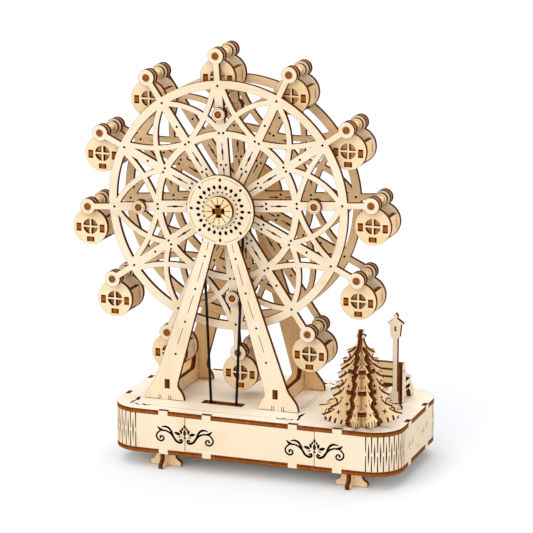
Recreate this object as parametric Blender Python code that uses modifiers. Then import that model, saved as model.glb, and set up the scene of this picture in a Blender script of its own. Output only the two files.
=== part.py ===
"""Ferris wheel music box: a laser-cut plywood kit on a low box base, with a crank, a belt and a comb movement."""

import bpy
import bmesh
from math import pi, sin, cos, asin, radians, hypot, atan2
from mathutils import Euler, Vector, geometry

# Sheet and clearances, in metres
PLY = 0.0030            # plywood thickness of every sheet
GAP = 0.0003            # between pieces that touch, and round tabs in their slots
RUN = 0.0003            # between a turning piece and its bearing
DOWEL_R = 0.0020        # hardwood dowels

# Base box
FOOT_H = 0.0100
FOOT_SPAN = 0.0107      # from the middle of a foot to the end of its leaf
FOOT_TOP = 0.0076
BASE_W = 0.1925
BASE_D = 0.1028
BASE_H = 0.0291
BASE_R = 0.0186
FOOT_LEFT_IN = 0.03585    # from the ends and sides of the base to the middle of a foot
FOOT_RIGHT_IN = 0.03005
FOOT_SIDE_IN = 0.0095
CORNER_FACETS = 9
SLIT_W = 0.0007
SLIT_BRIDGE = 0.0022    # wood left between two slits of one column
SLIT_END = 0.0035       # wood left above and below a middle slit
PANEL_SHARE = 0.4561    # of the base's length that the flat panels take, between the two seams
TAB_W = 0.0063
PANEL_TAB_IN = 0.0147    # from a seam to the tabs on both sides of it
BEND_TAB_IN = 0.0150
SIDE_TAB_IN = 0.01365   # from the straight end's corner to its tabs
BELT_SLOT_L = 0.0280
BELT_SLOT_W = 0.0073

# Wheel
WHEEL_IN = 0.06815       # from the left end of the base to the wheel's axis
CABIN_LOW = 0.0062      # below the lowest cabin, down to the deck
WHEEL_HALF = 0.0155     # from the middle plane to a wheel's outer face
PHASE = radians(4.4)
SPOKES = 12
PIVOT_R = 0.0970
RIM_R = 0.0815
RIM_W = 0.0055
RING_R = 0.0468
RING_W = 0.0044
HUB_R = 0.0170
SPOKE_IN_W = 0.0080
SPOKE_OUT_W = 0.0057
SPOKE_END_W = 0.0040
LATTICE_W = 0.0035
ARC_MID_R = 0.0430
ARC_R = 0.0455
END_R = 0.0053
ROD_R = 0.0600          # ring on which the four spacer rods stand
CAP_R = 0.0046
AXLE_W = 0.0080

# Stand
STAND_FRONT_GAP = 0.0090
STAND_REAR_GAP = 0.0103
STAND_DISC_R = 0.0224
LEG_TOP_IN = 0.0032
LEG_TOP_OUT = 0.0116
LEG_WAIST_IN = 0.0300
LEG_WAIST_OUT = 0.0440
LEG_FOOT_IN = 0.0255
LEG_FOOT_OUT = 0.0528
WAIST_UP = 0.0130
TIE_X = 0.0372
TIE_RAIL = 0.0091
TIE_END = 0.0215
TIE_TAB = 0.0055
TIE_TAB_UP = 0.0109
LEG_TAB_W = 0.0070
HUB_CAP_R = 0.0093

# Cabins
CABIN_R = 0.0120
CABIN_DROP = 0.0142
CABIN_SIDE = 0.0013     # from a wheel's inner face to a cabin's disc
WINDOW_R = 0.0052
MULLION = 0.0012
CABIN_WALL_X = 0.0082
CABIN_WALL_TOP = 0.0055
CABIN_FLOOR = 0.0085
CABIN_FLOOR_W = 0.0126

# Belt drive, crank and movement
BELT_R = 0.0009
BELT_BIG_R = 0.0143
BELT_SMALL_R = 0.0081
BELT_BEHIND = 0.0023    # belt plane behind the front stand's back face
GROOVE = 0.0015         # half the width of a pulley's groove
LIP = 0.0013            # how far a pulley's rims stand above the belt's middle line
SHAFT_R = 0.0020
CRANK_REACH = 0.0180
CRANK_ARM_W = 0.0080
KNOB_R = 0.0042
KNOB_L = 0.0130
PINION_TEETH = 12
GEAR_TEETH = 24
MODULE = 0.0008
MESH_SLACK = 0.0005
GEAR_T = 0.0020
CYLINDER_R = 0.0065
CYLINDER_L = 0.0200
ARBOR_R = 0.0012
BEARING_W = 0.0220
COMB_NOTES = 18
COMB_T = 0.0010
COMB_REACH = 0.0130
BED_T = 0.0015

# Tree, lamp and bench on the deck
TREE_IN = 0.02675        # from the right end and the front of the base to the tree's middle
TREE_FRONT_IN = 0.0153
TREE_R = 0.0266
TREE_H = 0.0585
TREE_CORE = 0.0040
TREE_DISC_R = 0.0105
STAR_R = 0.0032
STAR_STEM = 0.0050      # how deep the star's stem goes between the blades
LAMP_IN = 0.01605
LAMP_Y = 0.0037
LAMP_H = 0.0660
POST_W = 0.0034
LAMP_HEAD = 0.0185      # height of the lantern with its roof
LAMP_ROOF_W = 0.0106
BENCH_IN = 0.01455
BENCH_BACK_GAP = 0.0102  # between the lamp post and the bench
BENCH_L = 0.0400
BENCH_H = 0.0275
BENCH_D = 0.0250
SLAT_H = 0.0042
SEAT_W = 0.0066

# Places that follow from the sizes
DECK_TOP = FOOT_H + BASE_H
FOOT_LEFT_X = -BASE_W / 2 + FOOT_LEFT_IN
FOOT_RIGHT_X = BASE_W / 2 - FOOT_RIGHT_IN
FOOT_Y = BASE_D / 2 - FOOT_SIDE_IN
JOINT_X = BASE_W * PANEL_SHARE / 2
PANEL_TAB_X = JOINT_X - PANEL_TAB_IN
BEND_TAB_X = JOINT_X + BEND_TAB_IN
SIDE_TAB_Y = BASE_D / 2 - BASE_R - SIDE_TAB_IN
WHEEL_X = -BASE_W / 2 + WHEEL_IN
WHEEL_UP = PIVOT_R + CABIN_DROP + CABIN_R + CABIN_LOW
TREE_X = BASE_W / 2 - TREE_IN
TREE_Y = -BASE_D / 2 + TREE_FRONT_IN
LAMP_X = BASE_W / 2 - LAMP_IN
BENCH_RIGHT_X = BASE_W / 2 - BENCH_IN
BENCH_FRONT_Y = LAMP_Y + BENCH_BACK_GAP
FLOOR_TOP = FOOT_H + PLY
WALL_H = BASE_H - 2 * PLY
AXIS_Z = DECK_TOP + WHEEL_UP
SHAFT_Z = FOOT_H + BASE_H / 2
FRONT_STAND_Y = -WHEEL_HALF - STAND_FRONT_GAP - PLY / 2
REAR_STAND_Y = WHEEL_HALF + STAND_REAR_GAP + PLY / 2
BELT_Y = FRONT_STAND_Y + PLY / 2 + BELT_BEHIND
PINION_R = MODULE * PINION_TEETH / 2
GEAR_R = MODULE * GEAR_TEETH / 2
CYLINDER_X = WHEEL_X + PINION_R + GEAR_R + MESH_SLACK
REAR_FACE = BASE_D / 2
CRANK_Y = REAR_FACE + GAP + PLY / 2
DISC_HEIGHTS = [0.0092, 0.0232, 0.0374]

# The origin is the middle of the whole part's footprint, on the ground
LEFT_END = WHEEL_X - PIVOT_R * cos(PHASE) - CABIN_R
RIGHT_END = max(BASE_W / 2, TREE_X + TREE_R)
FRONT_END = min(TREE_Y - TREE_R, FRONT_STAND_Y - 1.5 * PLY)
REAR_END = CRANK_Y + PLY / 2 + KNOB_L
MID_X = (LEFT_END + RIGHT_END) / 2
MID_Y = (FRONT_END + REAR_END) / 2

FACING = {"front": (pi / 2, 0, 0), "side": (pi / 2, 0, pi / 2), "flat": (0, 0, 0)}


def start_scene():
    for obj in list(bpy.data.objects):
        bpy.data.objects.remove(obj, do_unlink=True)
    parts = bpy.data.collections.new("ferris_wheel_music_box")
    cutters = bpy.data.collections.new("cutters")
    for group in (parts, cutters):
        bpy.context.scene.collection.children.link(group)
    return parts, cutters


PARTS, CUTTERS = start_scene()


def material(name, colour, roughness, metallic=0.0):
    made = bpy.data.materials.new(name)
    made.use_nodes = True
    shader = made.node_tree.nodes["Principled BSDF"]
    shader.inputs["Base Color"].default_value = (*colour, 1.0)
    shader.inputs["Roughness"].default_value = roughness
    shader.inputs["Metallic"].default_value = metallic
    made.diffuse_color = (*colour, 1.0)
    return made


WOOD = {
    "base": material("basswood_base", (0.93, 0.80, 0.62), 0.65),
    "stand": material("basswood_stand", (0.95, 0.83, 0.64), 0.65),
    "wheel": material("basswood_wheel", (0.94, 0.81, 0.61), 0.65),
    "cabin": material("basswood_cabin", (0.92, 0.77, 0.56), 0.65),
    "deck": material("basswood_ornaments", (0.88, 0.70, 0.47), 0.65),
    "dowel": material("burnt_dowel", (0.42, 0.17, 0.06), 0.7),
}
STEEL = material("plated_steel", (0.62, 0.62, 0.60), 0.35, 1.0)
BRASS = material("brass", (0.72, 0.55, 0.28), 0.35, 1.0)
CORD = material("black_elastic_cord", (0.02, 0.02, 0.02), 0.55)


def empty(name, at, turn=(0, 0, 0), parent=None):
    made = bpy.data.objects.new(name, None)
    made.location = at
    made.rotation_euler = turn
    made.parent = parent
    PARTS.objects.link(made)
    return made


ROOT = empty("assembly", (-MID_X, -MID_Y, 0))
WHEEL = empty("wheel_axis", (WHEEL_X, 0, AXIS_Z), (0, -PHASE, 0), ROOT)
CRANK = empty("crank_axis", (WHEEL_X, 0, SHAFT_Z), (0, 0, 0), ROOT)
CYLINDER = empty("cylinder_axis", (CYLINDER_X, 0, SHAFT_Z), (0, 0, 0), ROOT)


# Flat outlines, in metres in their own plane

def polar(r, angle, cx=0.0, cy=0.0):
    return (cx + r * cos(angle), cy + r * sin(angle))


def circle(cx, cy, r, sides, start=0.0):
    return [polar(r, start + 2 * pi * i / sides, cx, cy) for i in range(sides)]


def box(x0, x1, y0, y1):
    return [(x0, y0), (x1, y0), (x1, y1), (x0, y1)]


def mirrored(loop):
    return [(-x, y) for x, y in reversed(loop)]


def bar(r0, r1, width, angle):
    """A spoke between two radii."""
    c, s, h = cos(angle), sin(angle), width / 2
    return [(u * c - v * s, u * s + v * c) for u, v in ((r0, -h), (r1, -h), (r1, h), (r0, h))]


def band(points, width):
    """The outline of a strip that follows the points."""
    left, right = [], []
    for i, (x, y) in enumerate(points):
        a, b = points[max(i - 1, 0)], points[min(i + 1, len(points) - 1)]
        length = hypot(b[0] - a[0], b[1] - a[1])
        nx, ny = -(b[1] - a[1]) / length * width / 2, (b[0] - a[0]) / length * width / 2
        left.append((x + nx, y + ny))
        right.append((x - nx, y - ny))
    return left + right[::-1]


def ring(r_in, r_out, sides, start=0.0):
    """A ring as wedge pieces, so that each of them is a plain outline."""
    inner, outer = circle(0, 0, r_in, sides, start), circle(0, 0, r_out, sides, start)
    return [[inner[i], outer[i], outer[(i + 1) % sides], inner[(i + 1) % sides]] for i in range(sides)]


def arc_through(a, b, c, steps):
    """Points of the circle through three points, from a to c."""
    (ax, ay), (bx, by), (cx, cy) = a, b, c
    d = 2 * (ax * (by - cy) + bx * (cy - ay) + cx * (ay - by))
    ux = ((ax**2 + ay**2) * (by - cy) + (bx**2 + by**2) * (cy - ay) + (cx**2 + cy**2) * (ay - by)) / d
    uy = ((ax**2 + ay**2) * (cx - bx) + (bx**2 + by**2) * (ax - cx) + (cx**2 + cy**2) * (bx - ax)) / d
    r = hypot(ax - ux, ay - uy)
    t0, t1 = atan2(ay - uy, ax - ux), atan2(cy - uy, cx - ux)
    turn = (t1 - t0 + pi) % (2 * pi) - pi
    return [polar(r, t0 + turn * i / steps, ux, uy) for i in range(steps + 1)]


def turned(loop, angle):
    c, s = cos(angle), sin(angle)
    return [(x * c - y * s, x * s + y * c) for x, y in loop]


# Solids

def cut_sheet(adds, cuts=(), shape=None):
    """Outlines laid over each other as one sheet with the cuts taken out, as a mesh without thickness."""
    millimetre = 0.001
    points, loops = [], []
    for loop in list(adds) + list(cuts):
        area = sum(a[0] * b[1] - b[0] * a[1] for a, b in zip(loop, loop[1:] + loop[:1]))
        loop = loop if area > 0 else loop[::-1]
        loops.append(list(range(len(points), len(points) + len(loop))))
        points += [Vector((x / millimetre, y / millimetre)) for x, y in loop]
    verts, _, faces, _, _, source = geometry.delaunay_2d_cdt(points, [], loops, 1, 1e-4)
    bm = bmesh.new()
    made = {}
    for face, inside in zip(faces, source):
        if not inside or max(inside) >= len(adds):
            continue
        for i in face:
            if i not in made:
                x, y = verts[i][0] * millimetre, verts[i][1] * millimetre
                made[i] = bm.verts.new(shape(x, y) if shape else (x, y, 0))
        bm.faces.new([made[i] for i in face])
    bmesh.ops.dissolve_limit(bm, angle_limit=radians(0.5), verts=bm.verts, edges=bm.edges)
    bmesh.ops.recalc_face_normals(bm, faces=bm.faces)
    return bm


def add_object(name, mesh, finish, at, facing="flat", parent=None):
    mesh.materials.clear()
    mesh.materials.append(finish)
    obj = bpy.data.objects.new(name, mesh)
    obj.location = at
    obj.rotation_euler = FACING[facing]
    obj.parent = parent or ROOT
    PARTS.objects.link(obj)
    return obj


def thicken(obj, thickness):
    solid = obj.modifiers.new("thickness", "SOLIDIFY")
    solid.thickness = thickness
    solid.offset = 0.0
    solid.use_even_offset = True
    return solid


def plate(name, finish, adds, cuts, at, facing, thickness=PLY, parent=None, shape=None):
    """A cut sheet with its thickness centred on the place given."""
    bm = cut_sheet(adds, cuts, shape)
    mesh = bpy.data.meshes.new(name)
    bm.to_mesh(mesh)
    bm.free()
    obj = add_object(name, mesh, finish, at, facing, parent)
    thicken(obj, thickness)
    return obj


def settled(obj):
    """The object's mesh with its modifiers carried out, in its parent's frame. The object is removed."""
    bpy.context.view_layer.update()
    mesh = bpy.data.meshes.new_from_object(obj.evaluated_get(bpy.context.evaluated_depsgraph_get()))
    mesh.transform(obj.matrix_world)
    bpy.data.objects.remove(obj)
    mesh.shade_smooth()
    mesh.set_sharp_from_angle(angle=radians(35))
    return mesh


def sheet_piece(adds, cuts, middle, turn, thickness=PLY):
    """A cut sheet that is going to be joined to others."""
    bm = cut_sheet(adds, cuts)
    mesh = bpy.data.meshes.new("sheet")
    bm.to_mesh(mesh)
    bm.free()
    obj = bpy.data.objects.new("sheet", mesh)
    obj.location = middle
    obj.rotation_euler = FACING.get(turn, turn)
    thicken(obj, thickness)
    return obj


def rod_mesh(radius, length, sides):
    """A round rod along Y, centred."""
    bm = bmesh.new()
    bmesh.ops.create_cone(bm, cap_ends=True, segments=sides, radius1=radius, radius2=radius, depth=length)
    bmesh.ops.rotate(bm, verts=bm.verts, cent=(0, 0, 0), matrix=Euler((pi / 2, 0, 0)).to_matrix())
    mesh = bpy.data.meshes.new("rod")
    bm.to_mesh(mesh)
    bm.free()
    return mesh


def rod_piece(x, z, radius, y0, y1, sides=8):
    obj = bpy.data.objects.new("rod", rod_mesh(radius, y1 - y0, sides))
    obj.location = (x, (y0 + y1) / 2, z)
    return obj


def joined(pieces):
    """The mesh of pieces that are lapped, slotted or glued into one another."""
    group = bpy.data.collections.new("joined_pieces")
    CUTTERS.children.link(group)
    first, rest = pieces[0], pieces[1:]
    CUTTERS.objects.link(first)
    for obj in rest:
        obj.display_type = "WIRE"
        obj.hide_render = True
        group.objects.link(obj)
    union = first.modifiers.new("join", "BOOLEAN")
    union.operation = "UNION"
    union.operand_type = "COLLECTION"
    union.collection = group
    union.solver = "EXACT"
    mesh = settled(first)
    for obj in rest:
        bpy.data.objects.remove(obj)
    bpy.data.collections.remove(group)
    return mesh


def rod(name, finish, radius, y0, y1, sides, at=(0, 0, 0), parent=None):
    mesh = rod_mesh(radius, y1 - y0, sides)
    mesh.shade_smooth()
    mesh.set_sharp_from_angle(angle=radians(35))
    return add_object(name, mesh, finish, (at[0], at[1] + (y0 + y1) / 2, at[2]), "flat", parent)


def turned_solid(name, finish, profile, at, steps=20, parent=None, bored=True):
    """A profile of radius and place along Y, turned about the Y axis. A bored one is a closed loop."""
    bm = bmesh.new()
    line = [bm.verts.new((r, y, 0)) for r, y in profile]
    for a, b in zip(line, line[1:] + (line[:1] if bored else [])):
        bm.edges.new((a, b))
    mesh = bpy.data.meshes.new(name)
    bm.to_mesh(mesh)
    bm.free()
    obj = bpy.data.objects.new("profile", mesh)
    CUTTERS.objects.link(obj)
    screw = obj.modifiers.new("turn", "SCREW")
    screw.axis = "Y"
    screw.steps = screw.render_steps = steps
    screw.use_merge_vertices = True
    screw.merge_threshold = 0.00001
    screw.use_normal_flip = True
    return add_object(name, settled(obj), finish, at, "flat", parent)


# Base box

def rounded_outline():
    """The plan of the base, with the facets that the bent walls have."""
    hx, hy, loop = BASE_W / 2 - BASE_R, BASE_D / 2 - BASE_R, []
    for cx, cy, start in ((hx, hy, 0), (-hx, hy, pi / 2), (-hx, -hy, pi), (hx, -hy, 1.5 * pi)):
        loop += [polar(BASE_R, start + pi / 2 * i / CORNER_FACETS, cx, cy) for i in range(CORNER_FACETS + 1)]
    return loop


def wall_notches():
    """Open notches at the rim of a plate for the wall tabs."""
    half, deep, cuts = TAB_W / 2 + GAP, PLY + GAP, []
    for x in (-BEND_TAB_X, -PANEL_TAB_X, PANEL_TAB_X, BEND_TAB_X):
        for y0, y1 in ((-BASE_D / 2 - PLY, -BASE_D / 2 + deep), (BASE_D / 2 - deep, BASE_D / 2 + PLY)):
            cuts.append(box(x - half, x + half, y0, y1))
    for y in (-SIDE_TAB_Y, SIDE_TAB_Y):
        for x0, x1 in ((-BASE_W / 2 - PLY, -BASE_W / 2 + deep), (BASE_W / 2 - deep, BASE_W / 2 + PLY)):
            cuts.append(box(x0, x1, y - half, y + half))
    return cuts


def slot(x, y, length, width=PLY):
    return box(x - length / 2 - GAP, x + length / 2 + GAP, y - width / 2 - GAP, y + width / 2 + GAP)


LEG_TAB_X = (LEG_FOOT_IN + LEG_FOOT_OUT) / 2
FEET = {"front_left": (FOOT_LEFT_X, -FOOT_Y), "front_right": (FOOT_RIGHT_X, -FOOT_Y),
        "rear_left": (FOOT_LEFT_X, FOOT_Y), "rear_right": (FOOT_RIGHT_X, FOOT_Y)}
FOOT_TAB = 0.0060
LAMP_TAB = 0.0040

bottom_cuts = wall_notches() + [slot(x, y, PLY, FOOT_TAB) for x, y in FEET.values()]
plate("base_bottom_plate", WOOD["base"], [rounded_outline()], bottom_cuts, (0, 0, FOOT_H + PLY / 2), "flat")

deck_cuts = wall_notches()
deck_cuts.append(box(WHEEL_X - BELT_SLOT_L / 2, WHEEL_X + BELT_SLOT_L / 2,
                     BELT_Y - BELT_SLOT_W * 0.6, BELT_Y + BELT_SLOT_W * 0.4))
for y in (FRONT_STAND_Y, REAR_STAND_Y):
    deck_cuts += [slot(WHEEL_X + side * LEG_TAB_X, y, LEG_TAB_W) for side in (-1, 1)]
deck_cuts.append(slot(LAMP_X, LAMP_Y, LAMP_TAB))
plate("base_deck", WOOD["base"], [rounded_outline()], deck_cuts, (0, 0, DECK_TOP - PLY / 2), "flat")


def panel_outlines(centres):
    """A flat wall panel between the seams, with its tabs up through the deck and down through the floor."""
    half = JOINT_X - GAP / 2
    outlines = [box(-half, half, GAP, WALL_H - GAP)]
    for x in centres:
        outlines.append(box(x - TAB_W / 2, x + TAB_W / 2, -PLY, WALL_H + PLY))
    return outlines


wall_y = BASE_D / 2 - PLY / 2
plate("wall_front", WOOD["base"], panel_outlines((-PANEL_TAB_X, PANEL_TAB_X)), [],
      (0, -wall_y, FLOOR_TOP), "front")
plate("wall_rear", WOOD["base"], panel_outlines((-PANEL_TAB_X, PANEL_TAB_X)),
      [circle(WHEEL_X, SHAFT_Z - FLOOR_TOP, SHAFT_R + RUN, 12)], (0, wall_y, FLOOR_TOP), "front")


def bent_wall_path(side):
    """Middle line of a bent end wall in plan, with the distance run along it at each fold."""
    r = BASE_R - PLY / 2
    hx, hy = BASE_W / 2 - BASE_R, BASE_D / 2 - BASE_R
    steps = [pi / 2 * i / CORNER_FACETS for i in range(CORNER_FACETS + 1)]
    points = [(side * (JOINT_X + GAP / 2), -wall_y)]
    points += [(side * (hx + r * sin(t)), -hy - r * cos(t)) for t in steps]
    points += [(side * (hx + r * cos(t)), hy + r * sin(t)) for t in steps]
    points.append((side * (JOINT_X + GAP / 2), wall_y))
    runs = [0.0]
    for a, b in zip(points, points[1:]):
        runs.append(runs[-1] + hypot(b[0] - a[0], b[1] - a[1]))
    return points, runs


def bent_wall(name, side):
    """An end wall cut flat, with staggered slits at both corners, then bent round them."""
    points, runs = bent_wall_path(side)
    height = WALL_H - 2 * GAP
    adds = [box(a, b, GAP, GAP + height) for a, b in zip(runs, runs[1:])]
    cuts = []
    for first in (1, CORNER_FACETS + 2):
        for i in range(CORNER_FACETS):
            s = (runs[first + i] + runs[first + i + 1]) / 2
            low, high, mid = GAP, GAP + height, GAP + height / 2
            if i % 2 == 0:
                spans = [(low - PLY / 2, mid - SLIT_BRIDGE / 2), (mid + SLIT_BRIDGE / 2, high + PLY / 2)]
            else:
                spans = [(low + SLIT_END, high - SLIT_END)]
            cuts += [box(s - SLIT_W / 2, s + SLIT_W / 2, z0, z1) for z0, z1 in spans]
    straight = runs[CORNER_FACETS + 1]
    middle = (straight + runs[CORNER_FACETS + 2]) / 2
    flap = BEND_TAB_X - JOINT_X - GAP / 2
    tabs = [flap, runs[-1] - flap, middle - SIDE_TAB_Y, middle + SIDE_TAB_Y]
    adds += [box(s - TAB_W / 2, s + TAB_W / 2, -PLY, WALL_H + PLY) for s in tabs]

    def bend(s, z):
        i = max(k for k in range(len(runs) - 1) if runs[k] <= s + 1e-9)
        t = (s - runs[i]) / (runs[i + 1] - runs[i])
        (x0, y0), (x1, y1) = points[i], points[i + 1]
        return (x0 + (x1 - x0) * t, y0 + (y1 - y0) * t, z)

    return plate(name, WOOD["base"], adds, cuts, (0, 0, FLOOR_TOP), "flat", shape=bend)


bent_wall("wall_left_bend", -1)
bent_wall("wall_right_bend", 1)


def foot_outline(tab):
    half = [(FOOT_TOP, FOOT_H - GAP), (FOOT_TOP * 0.97, FOOT_H * 0.7), (FOOT_TOP * 1.1, FOOT_H * 0.42),
            (FOOT_SPAN * 0.97, FOOT_H * 0.3), (FOOT_SPAN, FOOT_H * 0.1), (FOOT_SPAN * 0.94, 0)]
    loops = [half + [(-x, z) for x, z in reversed(half)]]
    if tab:
        loops.append(box(-FOOT_TAB / 2, FOOT_TAB / 2, FOOT_H / 2, FLOOR_TOP - GAP))
    return loops


foot_mesh = joined([sheet_piece(foot_outline(False), [], (0, 0, 0), "front"),
                    sheet_piece(foot_outline(True), [], (0, 0, 0), "side")])
for name, (x, y) in FEET.items():
    add_object(f"foot_{name}", foot_mesh, WOOD["deck"], (x, y, 0))


# Stand

def leg_outline():
    """The right-hand leg, measured from the wheel's axis: a straight taper to a waist, then a flared foot."""
    foot, waist = -WHEEL_UP + GAP, -WHEEL_UP + WAIST_UP
    top = -STAND_DISC_R * 0.86
    flare = LEG_FOOT_OUT - LEG_WAIST_OUT
    tuck = LEG_WAIST_IN - LEG_FOOT_IN
    outer = [(LEG_TOP_OUT, top), (LEG_WAIST_OUT, waist + 0.0045)]
    outer += [(LEG_WAIST_OUT + flare * a, waist + 0.0045 - (WAIST_UP + 0.0045) * b)
              for a, b in ((0.18, 0.26), (0.5, 0.5), (0.84, 0.72), (0.98, 0.88))]
    outer.append((LEG_FOOT_OUT, foot))
    inner = [(LEG_FOOT_IN, foot), (LEG_FOOT_IN + tuck * 0.12, foot + WAIST_UP * 0.22),
             (LEG_FOOT_IN + tuck * 0.5, foot + WAIST_UP * 0.46), (LEG_WAIST_IN - tuck * 0.08, foot + WAIST_UP * 0.68),
             (LEG_WAIST_IN, foot + WAIST_UP * 0.86), (LEG_WAIST_IN - tuck * 0.12, foot + WAIST_UP * 1.12),
             (LEG_TOP_IN, top)]
    return outer + inner


def stand(name, y):
    leg = leg_outline()
    adds = [circle(0, 0, STAND_DISC_R, 24), leg, mirrored(leg)]
    adds += [box(side * LEG_TAB_X - LEG_TAB_W / 2, side * LEG_TAB_X + LEG_TAB_W / 2,
                 -WHEEL_UP - PLY + GAP, -WHEEL_UP + PLY) for side in (-1, 1)]
    cuts = [circle(0, 0, hypot(AXLE_W, PLY) / 2 + RUN, 12)]
    for side in (-1, 1):
        z = -WHEEL_UP + TIE_TAB_UP
        cuts.append(box(side * TIE_X - PLY / 2 - GAP, side * TIE_X + PLY / 2 + GAP,
                        z - TIE_TAB / 2 - GAP, z + TIE_TAB / 2 + GAP))
    return plate(name, WOOD["stand"], adds, cuts, (WHEEL_X, y, AXIS_Z), "front")


stand("stand_front", FRONT_STAND_Y)
stand("stand_rear", REAR_STAND_Y)


def tie_outline():
    """A low rail between the legs whose two ends rise against them."""
    y0, y1 = FRONT_STAND_Y + PLY / 2 + GAP, REAR_STAND_Y - PLY / 2 - GAP
    low, top = GAP, TIE_END
    end, neck = 0.0093, 0.0048
    loop = [(y0, low), (y1, low), (y1, top), (y1 - neck, top), (y1 - end, TIE_RAIL),
            (y0 + end, TIE_RAIL), (y0 + neck, top), (y0, top)]
    tab = box(FRONT_STAND_Y - PLY / 2, REAR_STAND_Y + PLY / 2, TIE_TAB_UP - TIE_TAB / 2, TIE_TAB_UP + TIE_TAB / 2)
    hollow = box(y0 + end, y1 - end, TIE_RAIL, TIE_END)
    return [loop, tab], [hollow]


for side, name in ((-1, "stand_tie_left"), (1, "stand_tie_right")):
    adds, cuts = tie_outline()
    plate(name, WOOD["stand"], adds, cuts, (WHEEL_X + side * TIE_X, 0, DECK_TOP), "side")


# Wheel

def lattice():
    """One wheel: hub, spokes, two rings and the two families of crossing arcs, all cut from one sheet."""
    step = 2 * pi / SPOKES
    adds = [circle(0, 0, HUB_R, SPOKES)]
    adds += ring(RIM_R - RIM_W, RIM_R, SPOKES * 3)
    adds += ring(RING_R - RING_W / 2, RING_R + RING_W / 2, SPOKES * 2)
    cuts = [bar(-AXLE_W / 2 - GAP, AXLE_W / 2 + GAP, PLY + 2 * GAP, angle) for angle in (0, pi / 2)]
    for k in range(SPOKES):
        angle = k * step
        adds.append(bar(HUB_R * 0.6, RING_R, SPOKE_IN_W, angle))
        adds.append(bar(RING_R, RIM_R - RIM_W / 2, SPOKE_OUT_W, angle))
        adds.append(bar(RIM_R - RIM_W / 2, PIVOT_R - END_R * 0.5, SPOKE_END_W, angle))
        adds.append(circle(*polar(PIVOT_R, angle), END_R, 8, angle + pi / 8))
        cuts.append(circle(*polar(PIVOT_R, angle), (DOWEL_R + RUN) / cos(pi / 8), 8, angle))
        rim_r, ring_r = RIM_R - RIM_W / 2, RING_R
        for side in (-1, 1):
            if k % 2 == 0:
                centre = polar(ARC_MID_R, angle + side * step)
                start, end = polar(rim_r, angle), polar(ring_r, angle - side * step)
                t0 = atan2(start[1] - centre[1], start[0] - centre[0])
                t1 = atan2(end[1] - centre[1], end[0] - centre[0])
                turn = (t1 - t0 + pi) % (2 * pi) - pi
                line = [polar(ARC_R, t0 + turn * i / 3, *centre) for i in range(4)]
            else:
                start, through = turned([(rim_r, side * 0.0023), (RIM_R * 0.716, side * 0.0105)], angle)
                line = arc_through(start, through, polar(ring_r + 0.0008, angle + side * step), 2)
            adds.append(band(line, LATTICE_W))
    cuts += [circle(*polar(ROD_R, q * pi / 2), DOWEL_R + GAP, 8) for q in range(4)]
    adds += [circle(*polar(ROD_R, q * pi / 2), CAP_R, 8, pi / 8) for q in range(4)]
    return adds, cuts


WHEEL_Y = WHEEL_HALF - PLY / 2
adds, cuts = lattice()
for name, y in (("wheel_front", -WHEEL_Y), ("wheel_rear", WHEEL_Y)):
    plate(name, WOOD["wheel"], adds, cuts, (0, y, 0), "front", parent=WHEEL)

# Each spacer is a dowel with a glued cap outside both wheels
spacer_pieces = [rod_piece(0, 0, DOWEL_R, -WHEEL_HALF - PLY, WHEEL_HALF + PLY)]
spacer_pieces += [rod_piece(0, 0, CAP_R, min(y, y + side * (PLY - GAP)), max(y, y + side * (PLY - GAP)), 10)
                  for side, y in ((-1, -WHEEL_HALF - GAP), (1, WHEEL_HALF + GAP))]
spacer_mesh = joined(spacer_pieces)
for q in range(4):
    x, z = polar(ROD_R, q * pi / 2)
    add_object(f"wheel_spacer_{q + 1}", spacer_mesh, WOOD["dowel"], (x, 0, z), parent=WHEEL)

# The axle is two strips pushed together into a cross
AXLE_FRONT = FRONT_STAND_Y - PLY / 2 - GAP - PLY
AXLE_REAR = REAR_STAND_Y + PLY / 2 + GAP + PLY
strip = [bar(-AXLE_W / 2, AXLE_W / 2, PLY, angle) for angle in (0, pi / 2)]
plate("wheel_axle", WOOD["dowel"], strip, [], (0, (AXLE_FRONT + AXLE_REAR) / 2, 0), "front",
      AXLE_REAR - AXLE_FRONT, WHEEL)

cross_cut = [bar(-AXLE_W / 2 - GAP, AXLE_W / 2 + GAP, PLY + 2 * GAP, angle) for angle in (0, pi / 2)]
for name, y in (("hub_cap_front", AXLE_FRONT + PLY / 2), ("hub_cap_rear", AXLE_REAR - PLY / 2)):
    plate(name, WOOD["wheel"], [circle(0, 0, HUB_CAP_R, 20)], cross_cut, (0, y, 0), "front", parent=WHEEL)


def pulley_profile(belt_r, bore, front, groove, back, boss_r, boss_back):
    """A rim with a rounded groove for the belt, and a boss behind it."""
    lip, root = belt_r + LIP, belt_r - BELT_R - GAP
    return [(bore, front), (lip, front), (lip, groove - GROOVE), (root, groove - GROOVE / 2),
            (root, groove + GROOVE / 2), (lip, groove + GROOVE), (lip, back), (boss_r, back),
            (boss_r, boss_back), (bore, boss_back)]


turned_solid("drive_pulley", WOOD["wheel"],
             pulley_profile(BELT_BIG_R, hypot(AXLE_W, PLY) / 2 + GAP, FRONT_STAND_Y + PLY / 2 + RUN, BELT_Y,
                            BELT_Y + GROOVE + 0.0010, 0.0078, -WHEEL_HALF - GAP), (0, 0, 0), 16, WHEEL)


# Cabins

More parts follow.
